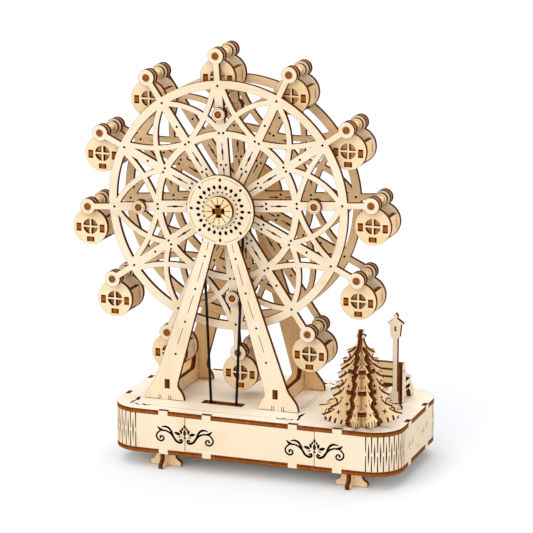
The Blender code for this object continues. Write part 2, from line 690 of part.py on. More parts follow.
def cabin_mesh():
    """Two discs glued to the dowel that turns in both wheels, with two side panels and a floor tabbed into them."""
    middle_z = -CABIN_DROP
    outline = [circle(0, middle_z, CABIN_R, 12), circle(0, 0, END_R, 8, pi / 8)]
    cuts = []
    for sx in (-1, 1):
        for sz in (-1, 1):
            m = MULLION / 2
            quarter = [(m, m), (WINDOW_R, m), (WINDOW_R * 0.71, WINDOW_R * 0.71), (m, WINDOW_R)]
            cuts.append([(sx * x, middle_z + sz * z) for x, z in quarter])
    disc_y = WHEEL_HALF - PLY - CABIN_SIDE - PLY / 2
    wall_z0, wall_z1 = middle_z - CABIN_FLOOR + PLY / 2 + GAP, middle_z + CABIN_WALL_TOP
    pieces = [sheet_piece(outline, cuts, (0, y, 0), "front") for y in (-disc_y, disc_y)]
    pieces += [sheet_piece([box(-disc_y, disc_y, wall_z0, wall_z1)], [], (side * CABIN_WALL_X, 0, 0), "side")
               for side in (-1, 1)]
    floor = box(-CABIN_FLOOR_W / 2, CABIN_FLOOR_W / 2, -disc_y, disc_y)
    pieces.append(sheet_piece([floor], [], (0, 0, middle_z - CABIN_FLOOR), "flat"))
    pieces.append(rod_piece(0, 0, DOWEL_R, -WHEEL_HALF, WHEEL_HALF, 8))
    return joined(pieces)


CABIN = cabin_mesh()
for k in range(SPOKES):
    x, z = polar(PIVOT_R, PHASE + k * 2 * pi / SPOKES)
    add_object(f"cabin_{k + 1:02d}", CABIN, WOOD["cabin"], (WHEEL_X + x, 0, AXIS_Z + z))


# Belt, crank and movement

def belt_points():
    """The belt's middle line: two arcs round the pulleys and the straight runs between them."""
    distance = AXIS_Z - SHAFT_Z
    tilt = asin((BELT_BIG_R - BELT_SMALL_R) / distance)
    top = [polar(BELT_BIG_R, tilt + (pi - 2 * tilt) * i / 12, 0, AXIS_Z) for i in range(13)]
    low = [polar(BELT_SMALL_R, pi - tilt + (pi + 2 * tilt) * i / 8, 0, SHAFT_Z) for i in range(9)]
    return top + low


curve = bpy.data.curves.new("drive_belt", "CURVE")
curve.dimensions = "3D"
spline = curve.splines.new("POLY")
belt_line = belt_points()
spline.points.add(len(belt_line) - 1)
for point, (x, z) in zip(spline.points, belt_line):
    point.co = (x, 0, z, 1)
spline.use_cyclic_u = True
curve.bevel_depth = BELT_R
curve.bevel_resolution = 2
curve.use_fill_caps = False
curve.materials.append(CORD)
belt = bpy.data.objects.new("drive_belt", curve)
belt.location = (WHEEL_X, BELT_Y, 0)
belt.parent = ROOT
PARTS.objects.link(belt)

BEARING_Y = FRONT_STAND_Y - PLY
SHAFT_FRONT = BEARING_Y - PLY / 2
rod("crank_shaft", STEEL, SHAFT_R, SHAFT_FRONT, CRANK_Y + PLY / 2, 12, parent=CRANK)
turned_solid("crank_pulley", WOOD["wheel"],
             pulley_profile(BELT_SMALL_R, SHAFT_R + GAP, BELT_Y - GROOVE - 0.0010, BELT_Y, BELT_Y + GROOVE + 0.0010,
                            0.0050, BELT_Y + GROOVE + 0.0050), (0, 0, 0), 12, CRANK)
bearing_top = DECK_TOP - PLY - GAP - FLOOR_TOP
plate("crank_bearing", WOOD["stand"], [box(-BEARING_W / 2, BEARING_W / 2, GAP, bearing_top)],
      [circle(0, SHAFT_Z - FLOOR_TOP, SHAFT_R + RUN, 12)], (WHEEL_X, BEARING_Y, FLOOR_TOP), "front")

arm_end = CRANK_ARM_W / 2
arm = [circle(0, 0, arm_end, 12), circle(0, -CRANK_REACH, arm_end, 12), box(-arm_end, arm_end, -CRANK_REACH, 0)]
KNOB_PIN_R = 0.0013
plate("crank_arm", WOOD["stand"], arm,
      [circle(0, 0, SHAFT_R + GAP, 12), circle(0, -CRANK_REACH, KNOB_PIN_R + RUN, 8)], (0, CRANK_Y, 0), "front",
      parent=CRANK)
knob_y0, knob_y1 = CRANK_Y + PLY / 2 + GAP, CRANK_Y + PLY / 2 + KNOB_L
turned_solid("crank_knob", WOOD["dowel"], [
    (0, CRANK_Y - PLY / 2), (KNOB_PIN_R, CRANK_Y - PLY / 2), (KNOB_PIN_R, knob_y0), (KNOB_R * 0.7, knob_y0),
    (KNOB_R * 0.8, knob_y0 + KNOB_L * 0.35), (KNOB_R, knob_y0 + KNOB_L * 0.7), (KNOB_R * 0.75, knob_y1),
    (0, knob_y1)], (0, 0, -CRANK_REACH), 12, CRANK, bored=False)


def gear_outline(teeth, radius, start):
    """Pointed teeth of a light stamped gear."""
    tip, root = radius + MODULE * 0.75, radius - MODULE * 1.1
    loop = []
    for i in range(teeth):
        middle = start + 2 * pi * i / teeth
        loop += [polar(tip, middle), polar(root, middle + pi / teeth)]
    return loop


MOVEMENT_Y = 0.0160
GEAR_Y = MOVEMENT_Y + CYLINDER_L / 2 + 0.0045
plate("crank_pinion", BRASS, [gear_outline(PINION_TEETH, PINION_R, pi / PINION_TEETH)],
      [circle(0, 0, SHAFT_R + GAP, 8)], (0, GEAR_Y, 0), "front", GEAR_T, CRANK)
plate("cylinder_gear", BRASS, [gear_outline(GEAR_TEETH, GEAR_R, pi)],
      [circle(0, 0, ARBOR_R + GAP, 8)], (0, GEAR_Y, 0), "front", GEAR_T, CYLINDER)
half_l = CYLINDER_L / 2
turned_solid("movement_cylinder", BRASS, [
    (0, MOVEMENT_Y - half_l - 0.0030), (ARBOR_R, MOVEMENT_Y - half_l - 0.0030), (ARBOR_R, MOVEMENT_Y - half_l),
    (CYLINDER_R, MOVEMENT_Y - half_l), (CYLINDER_R, MOVEMENT_Y + half_l), (ARBOR_R, MOVEMENT_Y + half_l),
    (ARBOR_R, GEAR_Y + GEAR_T), (0, GEAR_Y + GEAR_T)], (0, 0, 0), 16, CYLINDER,
    bored=False)

comb_x0 = CYLINDER_X + CYLINDER_R + 0.0004
comb_x1 = comb_x0 + COMB_REACH
COMB_ROOT = 0.0070
RISER_W = 0.0065
bed_z = FLOOR_TOP + GAP + BED_T / 2
comb_z = SHAFT_Z
bed_l = CYLINDER_L + 0.0050
bed_front, bed_rear = MOVEMENT_Y - bed_l / 2, MOVEMENT_Y + bed_l / 2
riser_h = comb_z - COMB_T / 2 - GAP - bed_z
bed = [sheet_piece([box(CYLINDER_X - 0.0060, comb_x1 + COMB_ROOT + 0.0020, bed_front, bed_rear)], [],
                   (0, 0, bed_z), "flat", BED_T),
       sheet_piece([box(comb_x1 + 0.0002, comb_x1 + RISER_W, MOVEMENT_Y - half_l, MOVEMENT_Y + half_l)], [],
                   (0, 0, bed_z + riser_h / 2), "flat", riser_h)]
arbor_seat = circle(0, 0, ARBOR_R + RUN, 8)
cheek = box(-0.0045, 0.0045, bed_z - SHAFT_Z, 0.0040)
bed += [sheet_piece([cheek], [arbor_seat], (CYLINDER_X, MOVEMENT_Y + side * (half_l + 0.0014), SHAFT_Z), "front", 0.0014)
        for side in (-1, 1)]
add_object("movement_bedplate", joined(bed), STEEL, (0, 0, 0))

pitch = CYLINDER_L / COMB_NOTES
tines = [box(comb_x0 - 0.0020, comb_x1, MOVEMENT_Y - half_l + pitch * (i + 1) - pitch * 0.15,
             MOVEMENT_Y - half_l + pitch * (i + 1) + pitch * 0.15) for i in range(COMB_NOTES - 1)]
plate("movement_comb", STEEL, [box(comb_x0, comb_x1 + COMB_ROOT, MOVEMENT_Y - half_l, MOVEMENT_Y + half_l)], tines,
      (0, 0, comb_z), "flat", COMB_T)


# Tree: eight half blades round three notched discs

def blade_outline():
    """Half of the tree in profile: branches that droop and shorten towards the top."""
    tiers = 7
    loop = [(TREE_CORE, GAP), (TREE_R * 0.42, GAP), (TREE_R * 0.62, 0.0016), (TREE_R * 0.84, 0.0055)]
    for i in range(tiers):
        t = i / (tiers - 1)
        reach = TREE_R - (TREE_R - 0.0090) * t ** 0.62
        height = 0.0098 + (0.0480 - 0.0098) * t ** 0.92
        loop.append((reach, height))
        loop.append((reach * 0.68 - 0.0004, height + 0.0018))
    loop += [(TREE_CORE + 0.0010, TREE_H - 0.0020), (TREE_CORE + 0.0002, TREE_H), (TREE_CORE, TREE_H)]
    return loop


def blade_cuts():
    return [circle(r, z, 0.0016, 4) for r, z in ((TREE_R * 0.50, 0.0055), (TREE_R * 0.56, 0.0140))]


# The blades are pressed into the rim slots of the three discs
tree = [sheet_piece([circle(0, 0, TREE_DISC_R, 8, pi / 8)], [], (0, 0, z), "flat") for z in DISC_HEIGHTS]
tree += [sheet_piece([blade_outline()], blade_cuts(), (0, 0, 0), (pi / 2, 0, k * pi / 4)) for k in range(8)]
add_object("tree", joined(tree), WOOD["deck"], (TREE_X, TREE_Y, DECK_TOP))

# The star's stem stands between the inner edges of the front and back blades
star = [polar(STAR_R if i % 2 == 0 else STAR_R * 0.45, pi / 2 + i * pi / 5, 0, STAR_R * 0.81 + GAP)
        for i in range(10)]
stem = box(-TREE_CORE + GAP, TREE_CORE - GAP, -STAR_STEM, -GAP)
neck = box(-STAR_R * 0.4, STAR_R * 0.4, -STAR_STEM / 2, STAR_R * 0.5)
plate("tree_star", WOOD["deck"], [star, stem, neck], [], (TREE_X, TREE_Y, DECK_TOP + TREE_H), "front")


# Lamp post

def lamp_outline():
    """A post on a flared foot, with a lantern that widens upwards under its roof."""
    half, eaves, neck, top = POST_W / 2, LAMP_ROOF_W / 2, LAMP_H - LAMP_HEAD, LAMP_HEAD
    loop = [(POST_W * 1.4, GAP), (POST_W * 1.26, POST_W * 0.47), (POST_W * 0.85, POST_W * 1.24),
            (POST_W * 0.74, POST_W * 1.94), (POST_W * 0.74, POST_W * 3.3), (half, POST_W * 3.7), (half, neck),
            (eaves * 0.58, neck + top * 0.11), (eaves * 0.75, neck + top * 0.49), (eaves, neck + top * 0.546),
            (eaves * 0.96, neck + top * 0.578), (eaves * 0.21, neck + top * 0.746), (eaves * 0.21, neck + top * 0.778),
            (eaves * 0.42, neck + top * 0.86), (eaves * 0.04, LAMP_H)]
    body = loop + [(-x, z) for x, z in reversed(loop)]
    return [body, box(-LAMP_TAB / 2, LAMP_TAB / 2, -PLY + GAP, PLY)]


window = box(-LAMP_ROOF_W * 0.075, LAMP_ROOF_W * 0.075, LAMP_H - LAMP_HEAD * 0.8, LAMP_H - LAMP_HEAD * 0.59)
plate("lamp_post", WOOD["deck"], lamp_outline(), [window], (LAMP_X, LAMP_Y, DECK_TOP), "front")


# Bench: it faces the back of the deck, so its back slats show from the front

def bench_side_outline():
    d, h = BENCH_D, BENCH_H
    loop = [(0, GAP), (d * 0.16, GAP), (d * 0.2, h * 0.16), (d * 0.34, h * 0.24), (d * 0.56, h * 0.24),
            (d * 0.72, h * 0.15), (d * 0.8, GAP), (d, GAP), (d, h * 0.17), (d * 0.9, h * 0.3), (d * 0.76, h * 0.36),
            (d * 0.78, h * 0.5), (d * 0.68, h * 0.57), (d * 0.46, h * 0.62), (d * 0.34, h * 0.75), (d * 0.22, h * 0.84),
            (d * 0.19, h * 0.98), (d * 0.06, h), (0, h * 0.95)]
    opening = [(d * 0.3, h * 0.5), (d * 0.6, h * 0.5), (d * 0.56, h * 0.54), (d * 0.32, h * 0.6)]
    lower = [(d * 0.3, h * 0.3), (d * 0.62, h * 0.27), (d * 0.66, h * 0.33), (d * 0.3, h * 0.36)]
    return [loop], [opening, lower]


bench_x = (BENCH_RIGHT_X - PLY / 2, BENCH_RIGHT_X - BENCH_L + PLY / 2)
side_adds, side_cuts = bench_side_outline()
for name, x in zip(("bench_side_right", "bench_side_left"), bench_x):
    plate(name, WOOD["deck"], side_adds, side_cuts, (x, BENCH_FRONT_Y, DECK_TOP), "side")
slat_x0, slat_x1 = bench_x[1] + PLY / 2 + GAP, bench_x[0] - PLY / 2 - GAP
slat_y = BENCH_FRONT_Y + 0.0008 + PLY / 2
slat_pitch = 0.0050
for i, name in enumerate(("top", "middle", "bottom")):
    z = DECK_TOP + BENCH_H - 0.0022 - i * slat_pitch
    plate(f"bench_back_slat_{name}", WOOD["deck"], [box(slat_x0, slat_x1, -SLAT_H / 2, SLAT_H / 2)], [],
          (0, slat_y, z), "front")
seat_z = DECK_TOP + BENCH_H * 0.42
for i, name in enumerate(("inner", "outer")):
    y = BENCH_FRONT_Y + PLY + 0.0048 + i * (SEAT_W + 0.0008)
    plate(f"bench_seat_slat_{name}", WOOD["deck"], [box(slat_x0, slat_x1, -SEAT_W / 2, SEAT_W / 2)], [],
          (0, y, seat_z), "flat")

bpy.context.view_layer.update()
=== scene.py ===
"""The looks of the ferris wheel music box: laser-cut basswood plywood, charred brown at every cut."""

import bpy
import bmesh
from math import pi, sin, cos, asin, atan2, hypot, radians
from mathutils import Euler, Matrix, Vector, geometry


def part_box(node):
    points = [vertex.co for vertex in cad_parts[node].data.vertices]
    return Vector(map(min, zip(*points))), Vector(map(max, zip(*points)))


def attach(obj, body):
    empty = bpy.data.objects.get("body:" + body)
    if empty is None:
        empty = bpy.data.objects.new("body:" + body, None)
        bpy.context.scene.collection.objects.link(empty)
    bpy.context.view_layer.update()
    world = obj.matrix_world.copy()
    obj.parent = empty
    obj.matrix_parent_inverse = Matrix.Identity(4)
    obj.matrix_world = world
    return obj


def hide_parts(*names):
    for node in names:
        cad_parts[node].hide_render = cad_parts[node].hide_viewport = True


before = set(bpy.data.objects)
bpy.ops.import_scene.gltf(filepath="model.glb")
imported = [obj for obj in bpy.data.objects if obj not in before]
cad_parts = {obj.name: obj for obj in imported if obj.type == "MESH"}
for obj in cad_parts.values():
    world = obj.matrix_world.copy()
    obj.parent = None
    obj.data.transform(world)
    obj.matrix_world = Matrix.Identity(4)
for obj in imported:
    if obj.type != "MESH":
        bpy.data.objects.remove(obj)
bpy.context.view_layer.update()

mm = 0.001
SCENE = bpy.context.scene
PLY = 3.0 * mm
GAP = 0.3 * mm


def middle_of(node):
    low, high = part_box(node)
    return (low + high) / 2


# Places of the solids in the shared frame
AX, AZ = middle_of("wheel_axle").x, middle_of("wheel_axle").z
MID_Y = (middle_of("wheel_front").y + middle_of("wheel_rear").y) / 2
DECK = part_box("base_deck")[1].z
BASE = middle_of("base_deck")
SHAFT_Z = middle_of("crank_shaft").z
PHASE = radians(4.4)
SPOKES = 12


# Outlines, in metres in the plane of their sheet

def polar(r, angle, cx=0.0, cy=0.0):
    return (cx + r * cos(angle), cy + r * sin(angle))


def circle(cx, cy, r, sides):
    return [polar(r, 2 * pi * i / sides, cx, cy) for i in range(sides)]


def disc(r, sides):
    return circle(0, 0, r, sides)


def box(x0, x1, y0, y1):
    return [(x0, y0), (x1, y0), (x1, y1), (x0, y1)]


def strip(cx, width, y0, y1):
    """A rectangle round an upright middle line."""
    return box(cx - width / 2, cx + width / 2, y0, y1)


def rect(cx, cy, width, height):
    """A rectangle round its middle point."""
    return strip(cx, width, cy - height / 2, cy + height / 2)


def mirrored(loop):
    return [(-x, y) for x, y in reversed(loop)]


def both_sides(half):
    """A closed outline from its right-hand half."""
    return half + mirrored(half)


def turned(loop, angle, cx=0.0, cy=0.0):
    c, s = cos(angle), sin(angle)
    return [(cx + x * c - y * s, cy + x * s + y * c) for x, y in loop]


def moved(loop, dx, dy):
    return [(x + dx, y + dy) for x, y in loop]


def bar(r0, r1, width, angle):
    return turned(box(r0, r1, -width / 2, width / 2), angle)


def ring(r_in, r_out, sides):
    inner, outer = disc(r_in, sides), disc(r_out, sides)
    return [[inner[i], outer[i], outer[(i + 1) % sides], inner[(i + 1) % sides]] for i in range(sides)]


def band(points, widths):
    """A strip that follows the points. Widths is one number, or one for each point."""
    if not isinstance(widths, list):
        widths = [widths] * len(points)
    left, right = [], []
    for i, (x, y) in enumerate(points):
        a, b = points[max(i - 1, 0)], points[min(i + 1, len(points) - 1)]
        length = hypot(b[0] - a[0], b[1] - a[1])
        nx, ny = -(b[1] - a[1]) / length * widths[i] / 2, (b[0] - a[0]) / length * widths[i] / 2
        left.append((x + nx, y + ny))
        right.append((x - nx, y - ny))
    return left + right[::-1]


def lens(x0, x1, width, angle=0.0, cx=0.0, cy=0.0):
    """A slit or petal with pointed ends."""
    m, h = (x0 + x1) / 2, (x1 - x0) / 2
    up = [(m - h * 0.55, width * 0.36), (m, width / 2), (m + h * 0.55, width * 0.36)]
    return turned([(x0, 0)] + [(x, -y) for x, y in up] + [(x1, 0)] + up[::-1], angle, cx, cy)


def arc_points(centre, r, t0, t1, steps):
    return [polar(r, t0 + (t1 - t0) * i / steps, *centre) for i in range(steps + 1)]


def arc_between(centre, r, start, end, steps):
    """An arc round the centre from the direction of start to that of end, the short way."""
    t0, t1 = (atan2(p[1] - centre[1], p[0] - centre[0]) for p in (start, end))
    return arc_points(centre, r, t0, t0 + (t1 - t0 + pi) % (2 * pi) - pi, steps)


def arc_through(a, b, c, steps):
    """An arc from a to c that passes through b."""
    (ax, ay), (bx, by), (cx, cy) = a, b, c
    d = 2 * (ax * (by - cy) + bx * (cy - ay) + cx * (ay - by))
    aa, bb, cc = (x**2 + y**2 for x, y in (a, b, c))
    ux = (aa * (by - cy) + bb * (cy - ay) + cc * (ay - by)) / d
    uy = (aa * (cx - bx) + bb * (ax - cx) + cc * (bx - ax)) / d
    return arc_between((ux, uy), hypot(ax - ux, ay - uy), a, c, steps)


def curve_through(points, steps=5):
    """A smooth line through the points (Catmull-Rom)."""
    line = []
    for i in range(len(points) - 1):
        corners = points[max(i - 1, 0)], points[i], points[i + 1], points[min(i + 2, len(points) - 1)]
        for k in range(steps):
            t = k / steps
            line.append(tuple(0.5 * (2 * b + (c - a) * t + (2 * a - 5 * b + 4 * c - d) * t**2
                                     + (3 * b - a - 3 * c + d) * t**3) for a, b, c, d in zip(*corners)))
    return line + [points[-1]]


def millimetres(points):
    return [(x * mm, y * mm) for x, y in points]


# Materials. Pattern scales are in cells per metre.

GROWTH = 430.0    # growth lines 2.3 mm apart
PATCHES = 30.0    # cloudy patches of 33 mm
FLECKS = 1700.0   # ray flecks 0.6 mm apart, coarser than real ones so that they show
STREAKS = 900.0   # streaks of the laser's pulses 1.1 mm apart, coarser than real ones so that they show


def srgb(text):
    """An sRGB hex colour as linear values."""
    values = [int(text[i:i + 2], 16) / 255 for i in (1, 3, 5)]
    return tuple(v / 12.92 if v <= 0.04045 else ((v + 0.055) / 1.055) ** 2.4 for v in values) + (1.0,)


def add_node(tree, kind, settings=None, links=None, values=None):
    """A shader node with its settings, incoming links and socket values."""
    node = tree.nodes.new("ShaderNode" + kind)
    for key, value in (settings or {}).items():
        setattr(node, key, value)
    for key, value in (values or {}).items():
        node.inputs[key].default_value = value
    for key, source in (links or {}).items():
        tree.links.new(source, node.inputs[key])
    return node


def new_material(name, roughness, metallic=0.0, colour="#808080", gloss=0.5):
    """A plain material. Gloss is the strength of its mirror light, where 0.5 is what the IOR gives."""
    made = bpy.data.materials.new(name)
    made.use_nodes = True
    tree = made.node_tree
    tree.nodes.clear()
    shader = add_node(tree, "BsdfPrincipled",
                      values={"Roughness": roughness, "Metallic": metallic, "Base Color": srgb(colour),
                              "Specular IOR Level": gloss})
    add_node(tree, "OutputMaterial", links={"Surface": shader.outputs["BSDF"]})
    return made, tree, shader


def ramp(tree, factor, stops):
    node = add_node(tree, "ValToRGB", links={"Fac": factor})
    elements = node.color_ramp.elements
    while len(elements) < len(stops):
        elements.new(0.5)
    for element, (at, colour) in zip(elements, stops):
        element.position = at
        element.color = srgb(colour)
    return node.outputs["Color"]


def grain(tree, along, scale, stretch, detail):
    """Noise drawn out along one axis of the object."""
    where = add_node(tree, "TexCoord").outputs["Object"]
    scales = [stretch if axis == along else 1.0 for axis in "xyz"]
    drawn = add_node(tree, "Mapping", links={"Vector": where}, values={"Scale": scales})
    return add_node(tree, "TexNoise", links={"Vector": drawn.outputs["Vector"]},
                    values={"Scale": scale, "Detail": detail, "Roughness": 0.6}).outputs["Fac"]


def dress(tree, shader, colour, height, strength, distance):
    """Gives the shader its colour and a fine bump."""
    bump = add_node(tree, "Bump", links={"Height": height}, values={"Strength": strength, "Distance": distance})
    tree.links.new(colour, shader.inputs["Base Color"])
    tree.links.new(bump.outputs["Normal"], shader.inputs["Normal"])


def basswood(name, along, light, middle, dark, fleck):
    """Sanded basswood veneer: nearly plain, with faint long growth lines and short fine flecks."""
    made, tree, shader = new_material(name, 0.62, gloss=0.3)
    lines, patches = grain(tree, along, GROWTH, 0.05, 4.0), grain(tree, along, PATCHES, 0.5, 2.0)
    tone = add_node(tree, "Math", {"operation": "MULTIPLY_ADD"}, {0: lines, 2: patches}, {1: 0.45})
    base = ramp(tree, tone.outputs["Value"], [(0.50, dark), (0.70, middle), (0.90, light)])
    flecks = add_node(tree, "MapRange", links={"Value": grain(tree, along, FLECKS, 0.10, 1.0)},
                      values={"From Min": 0.62, "From Max": 0.78, "To Min": 0.0, "To Max": 0.16})
    mixed = add_node(tree, "Mix", {"data_type": "RGBA"}, {"Factor": flecks.outputs["Result"], 6: base},
                     {7: srgb(fleck)})
    dress(tree, shader, mixed.outputs[2], lines, 0.08, 0.05 * mm)
    return made


def charred(name, through, dark, middle, light):
    """The wall of a laser cut: charred at both arrises and along the glue lines, with the browner core between them,
    streaked across the sheet by the beam."""
    made, tree, shader = new_material(name, 0.8, gloss=0.08)
    streaks = grain(tree, through, STREAKS, 0.25, 3.0)
    depth = add_node(tree, "Attribute", {"attribute_name": "depth"}).outputs["Fac"]
    layers = ramp(tree, depth, [(0.0, dark), (0.08, middle), (0.22, light), (0.42, light),
                                (0.60, dark), (0.78, middle), (0.92, middle), (1.0, dark)])
    burn = ramp(tree, streaks, [(0.34, dark), (0.50, middle), (0.66, light)])
    mixed = add_node(tree, "Mix", {"data_type": "RGBA"}, {6: layers, 7: burn}, {"Factor": 0.40})
    dress(tree, shader, mixed.outputs[2], streaks, 0.3, 0.1 * mm)
    return made


# The good side of the ply: sanded basswood, creamy and dull
FACE = {a: basswood(f"basswood_good_side_{a}", a, "#F3E0C4", "#EFDBBC", "#E6CCA6", "#CFAB7C") for a in "xyz"}
# The deck's top: the same veneer made paler and cooler, painted light for the top face that the overhead lamp lights
# most
PALE = basswood("basswood_pale_deck", "x", "#FBF3E6", "#F7EBD8", "#EFDEC4", "#DBBE95")
# The ply's other side: a yellower veneer, tan in the shade. On whole parts that sit in shade, the cabins' side panels
# and floors and the feet's side plates, this darker tone is painted shade.
BACK_SIDE_AND_SHADE = {a: basswood(f"basswood_toned_side_{a}", a, "#FADBAC", "#F5D19E", "#E7BD86", "#C4965F") for a in "xyz"}
# Sheets of a warmer batch: honey-coloured, for the cabins, the caps and the tree. On the rear lattice's front, the
# bench slats and the feet's cross plates it is painted shade.
WARM = {a: basswood(f"basswood_warm_side_{a}", a, "#F8DFB6", "#F4D6A8", "#E9C38C", "#CB9C62") for a in "xyz"}
EDGE = {a: charred(f"charred_cut_{a}", a, "#200A01", "#4A1E05", "#83430E") for a in "xyz"}
# The cut of the two large plates: burnt less, so red-brown
PLATE_EDGE = charred("charred_plate_edge", "z", "#4E1E03", "#77380A", "#A9601E")
# Smoke stain along a cut: a soft brown line between the face and the black wall
RIM = new_material("scorched_arris", 0.8, colour="#744016", gloss=0.1)[0]
# Laser engraving in the wood: soot-black and dead dull, or lighter passes in dark and pale brown
BLACK = new_material("engraved_black", 0.9, colour="#0D0603", gloss=0.02)[0]
BROWN = new_material("engraved_brown", 0.9, colour="#451A04", gloss=0.05)[0]
FAINT = new_material("light_score", 0.8, colour="#BE9258", gloss=0.1)[0]
# Braided cover over rubber: black with hardly a shine
CORD = new_material("black_elastic_cord", 0.7, colour="#080808", gloss=0.15)[0]
# The movement's metals: satin nickel plate, and bare brass a little yellower
STEEL = new_material("plated_steel", 0.3, 1.0, "#B9B9B4")[0]
BRASS = new_material("bare_brass", 0.32, 1.0, "#C9A25A")[0]
# Hardwood pins and tab ends: end grain browned by the beam, rust-coloured
DOWEL = charred("brown_hardwood", "y", "#4A1C02", "#7A3608", "#A95F1A")
# What stands at each place in a wooden piece's list of materials
GOOD, TONED_AND_SHADED, WALL, ARRIS, INK, SEPIA, SCORE, ROUND, HONEY = range(9)


def wood_slots(along, through, good=None):
    """The materials for grain along one axis and cuts through another."""
    return [good or FACE[along], BACK_SIDE_AND_SHADE[along], EDGE[through], RIM, BLACK, BROWN, FAINT, DOWEL, WARM[along]]


# Sheets. Each piece is one bmesh, whose depth layer runs from 0 to 1 through a sheet.

SCORCH_W = 0.16 * mm
MARK_SUNK, MARK_PROUD = 0.05 * mm, 0.03 * mm
MID_LAYER = (0.30, 0.31)   # depths that keep a wall of hardwood in one plain brown



def flat_faces(bm, adds, cuts, keep_facets):
    """Overlaid outlines as one flat sheet, less the cuts. Returns its faces. They are worked out in millimetres."""
    points, loops = [], []
    for loop in list(adds) + list(cuts):
        area = sum(a[0] * b[1] - b[0] * a[1] for a, b in zip(loop, loop[1:] + loop[:1]))
        loop = loop if area > 0 else loop[::-1]
        loops.append(list(range(len(points), len(points) + len(loop))))
        points += [Vector((x / mm, y / mm)) for x, y in loop]
    spots, _, faces, _, _, source = geometry.delaunay_2d_cdt(points, [], loops, 1, 1e-4)
    made, sheet, before = {}, [], set(bm.faces)
    for face, inside in zip(faces, source):
        if not inside or max(inside) >= len(adds):
            continue
        for i in face:
            if i not in made:
                made[i] = bm.verts.new((spots[i][0] * mm, spots[i][1] * mm, 0))
        sheet.append(bm.faces.new([made[i] for i in face]))
    if not keep_facets:
        verts = list(made.values())
        edges = list({e for f in sheet for e in f.edges})
        bmesh.ops.dissolve_limit(bm, angle_limit=radians(0.5), verts=verts, edges=edges)
        sheet = [f for f in bm.faces if f not in before]
    for face in sheet:
        face.normal_update()
        if face.normal.z < 0:
            face.normal_flip()
    return sheet


def add_sheet(bm, adds, cuts=(), thickness=PLY, middle=0.0, faces=GOOD, front=None, back=None, rim=SCORCH_W,
              at=None, shape=None, marks=(), marks_back=(), depths=(0.0, 1.0)):
    """A cut sheet in bm, bent by shape and taken to the matrix at. Its look is that of faces, or of front and back.
    Marks are (outlines, slot) a hair proud of it."""
    depth = bm.verts.layers.float["depth"]
    front, back = faces if front is None else front, faces if back is None else back

    def grow(sheet, low, high):
        grown = bmesh.ops.extrude_face_region(bm, geom=sheet, use_keep_orig=True)["geom"]
        tops = [g for g in grown if isinstance(g, bmesh.types.BMVert)]
        bottoms = {v for f in sheet for v in f.verts}
        for v in tops:
            v.co.z, v[depth] = high, depths[1]
        for v in bottoms:
            v.co.z, v[depth] = low, depths[0]
        for f in sheet:
            f.normal_flip()
        return tops + list(bottoms), [g for g in grown if isinstance(g, bmesh.types.BMFace)]

    sheet = flat_faces(bm, adds, cuts, shape is not None)
    edging = []
    if rim:
        inset = bmesh.ops.inset_region(bm, faces=sheet, thickness=rim, use_boundary=True, use_even_offset=True)
        edging = [f for f in inset["faces"] if f.is_valid]
    for f in sheet:
        f.material_index = front
    for f in edging:
        f.material_index = ARRIS
    everything = sheet + edging
    low_slots = [back if f.material_index == front else ARRIS for f in everything]
    verts, tops = grow(everything, middle - thickness / 2, middle + thickness / 2)
    for f, slot in zip(everything, low_slots):
        f.material_index = slot
    top_set = set(tops)
    for v in verts:
        for f in v.link_faces:
            if f not in top_set and f.is_valid and len({u[depth] for u in f.verts}) > 1:
                f.material_index = WALL
    group = list(verts)
    for lists, side in ((marks, 1), (marks_back, -1)):
        face_z = middle + side * thickness / 2
        low, high = sorted((face_z - side * MARK_SUNK, face_z + side * MARK_PROUD))
        for outlines, slot in lists:
            for outline in outlines:
                more, _ = grow(flat_faces(bm, [outline], (), False), low, high)
                for v in more:
                    for f in v.link_faces:
                        f.material_index = slot
                group += more
    if shape:
        for v in group:
            v.co = shape(v.co.x, v.co.y, v.co.z)
    if at is not None:
        for v in group:
            v.co = at @ v.co


def add_lathe(bm, profile, at, sides, slot, end_slot=None, depths=None):
    """A profile of (radius, place along) turned round the local Z axis. Radius 0 closes an end."""
    depth = bm.verts.layers.float["depth"]
    line = [bm.verts.new((r, 0, z)) for r, z in profile]
    edges = [bm.edges.new((a, b)) for a, b in zip(line, line[1:])]
    for i, v in enumerate(line):
        v[depth] = depths[i] if depths else 0.5
    bmesh.ops.spin(bm, geom=line + edges, cent=(0, 0, 0), axis=(0, 0, 1), angle=2 * pi, steps=sides, use_merge=True)
    seen, stack = set(line), list(line)
    while stack:
        for e in stack.pop().link_edges:
            for v in e.verts:
                if v not in seen:
                    seen.add(v)
                    stack.append(v)
    verts = [v for v in seen if v.is_valid]
    bmesh.ops.remove_doubles(bm, verts=[v for v in verts if hypot(v.co.x, v.co.y) < 1e-6], dist=1e-6)
    verts = [v for v in verts if v.is_valid]
    faces = list({f for v in verts for f in v.link_faces})
    for f in faces:
        f.normal_update()
        flat = abs(f.normal.z) > 0.9
        f.material_index = end_slot if flat and end_slot is not None else slot
    bmesh.ops.recalc_face_normals(bm, faces=faces)
    for v in verts:
        v.co = at @ v.co


def rod(r, z0, z1, step_in, step_back):
    """The profile of a round rod with bevelled ends, for add_lathe."""
    return [(0, z0), (r - step_in, z0), (r, z0 + step_back), (r, z1 - step_back), (r - step_in, z1), (0, z1)]


FACING = {"front": (pi / 2, 0, 0), "side": (pi / 2, 0, pi / 2), "flat": (0, 0, 0), "rear": (pi / 2, 0, pi)}


def stand_at(x, y, z, facing, spin=0.0):
    """Where a sheet goes, with the way its front faces as a word or as three angles."""
    turn = FACING[facing] if isinstance(facing, str) else facing
    return Matrix.Translation((x, y, z)) @ Euler(turn).to_matrix().to_4x4() @ Matrix.Rotation(spin, 4, "Z")


def new_piece():
    bm = bmesh.new()
    bm.verts.layers.float.new("depth")
    return bm


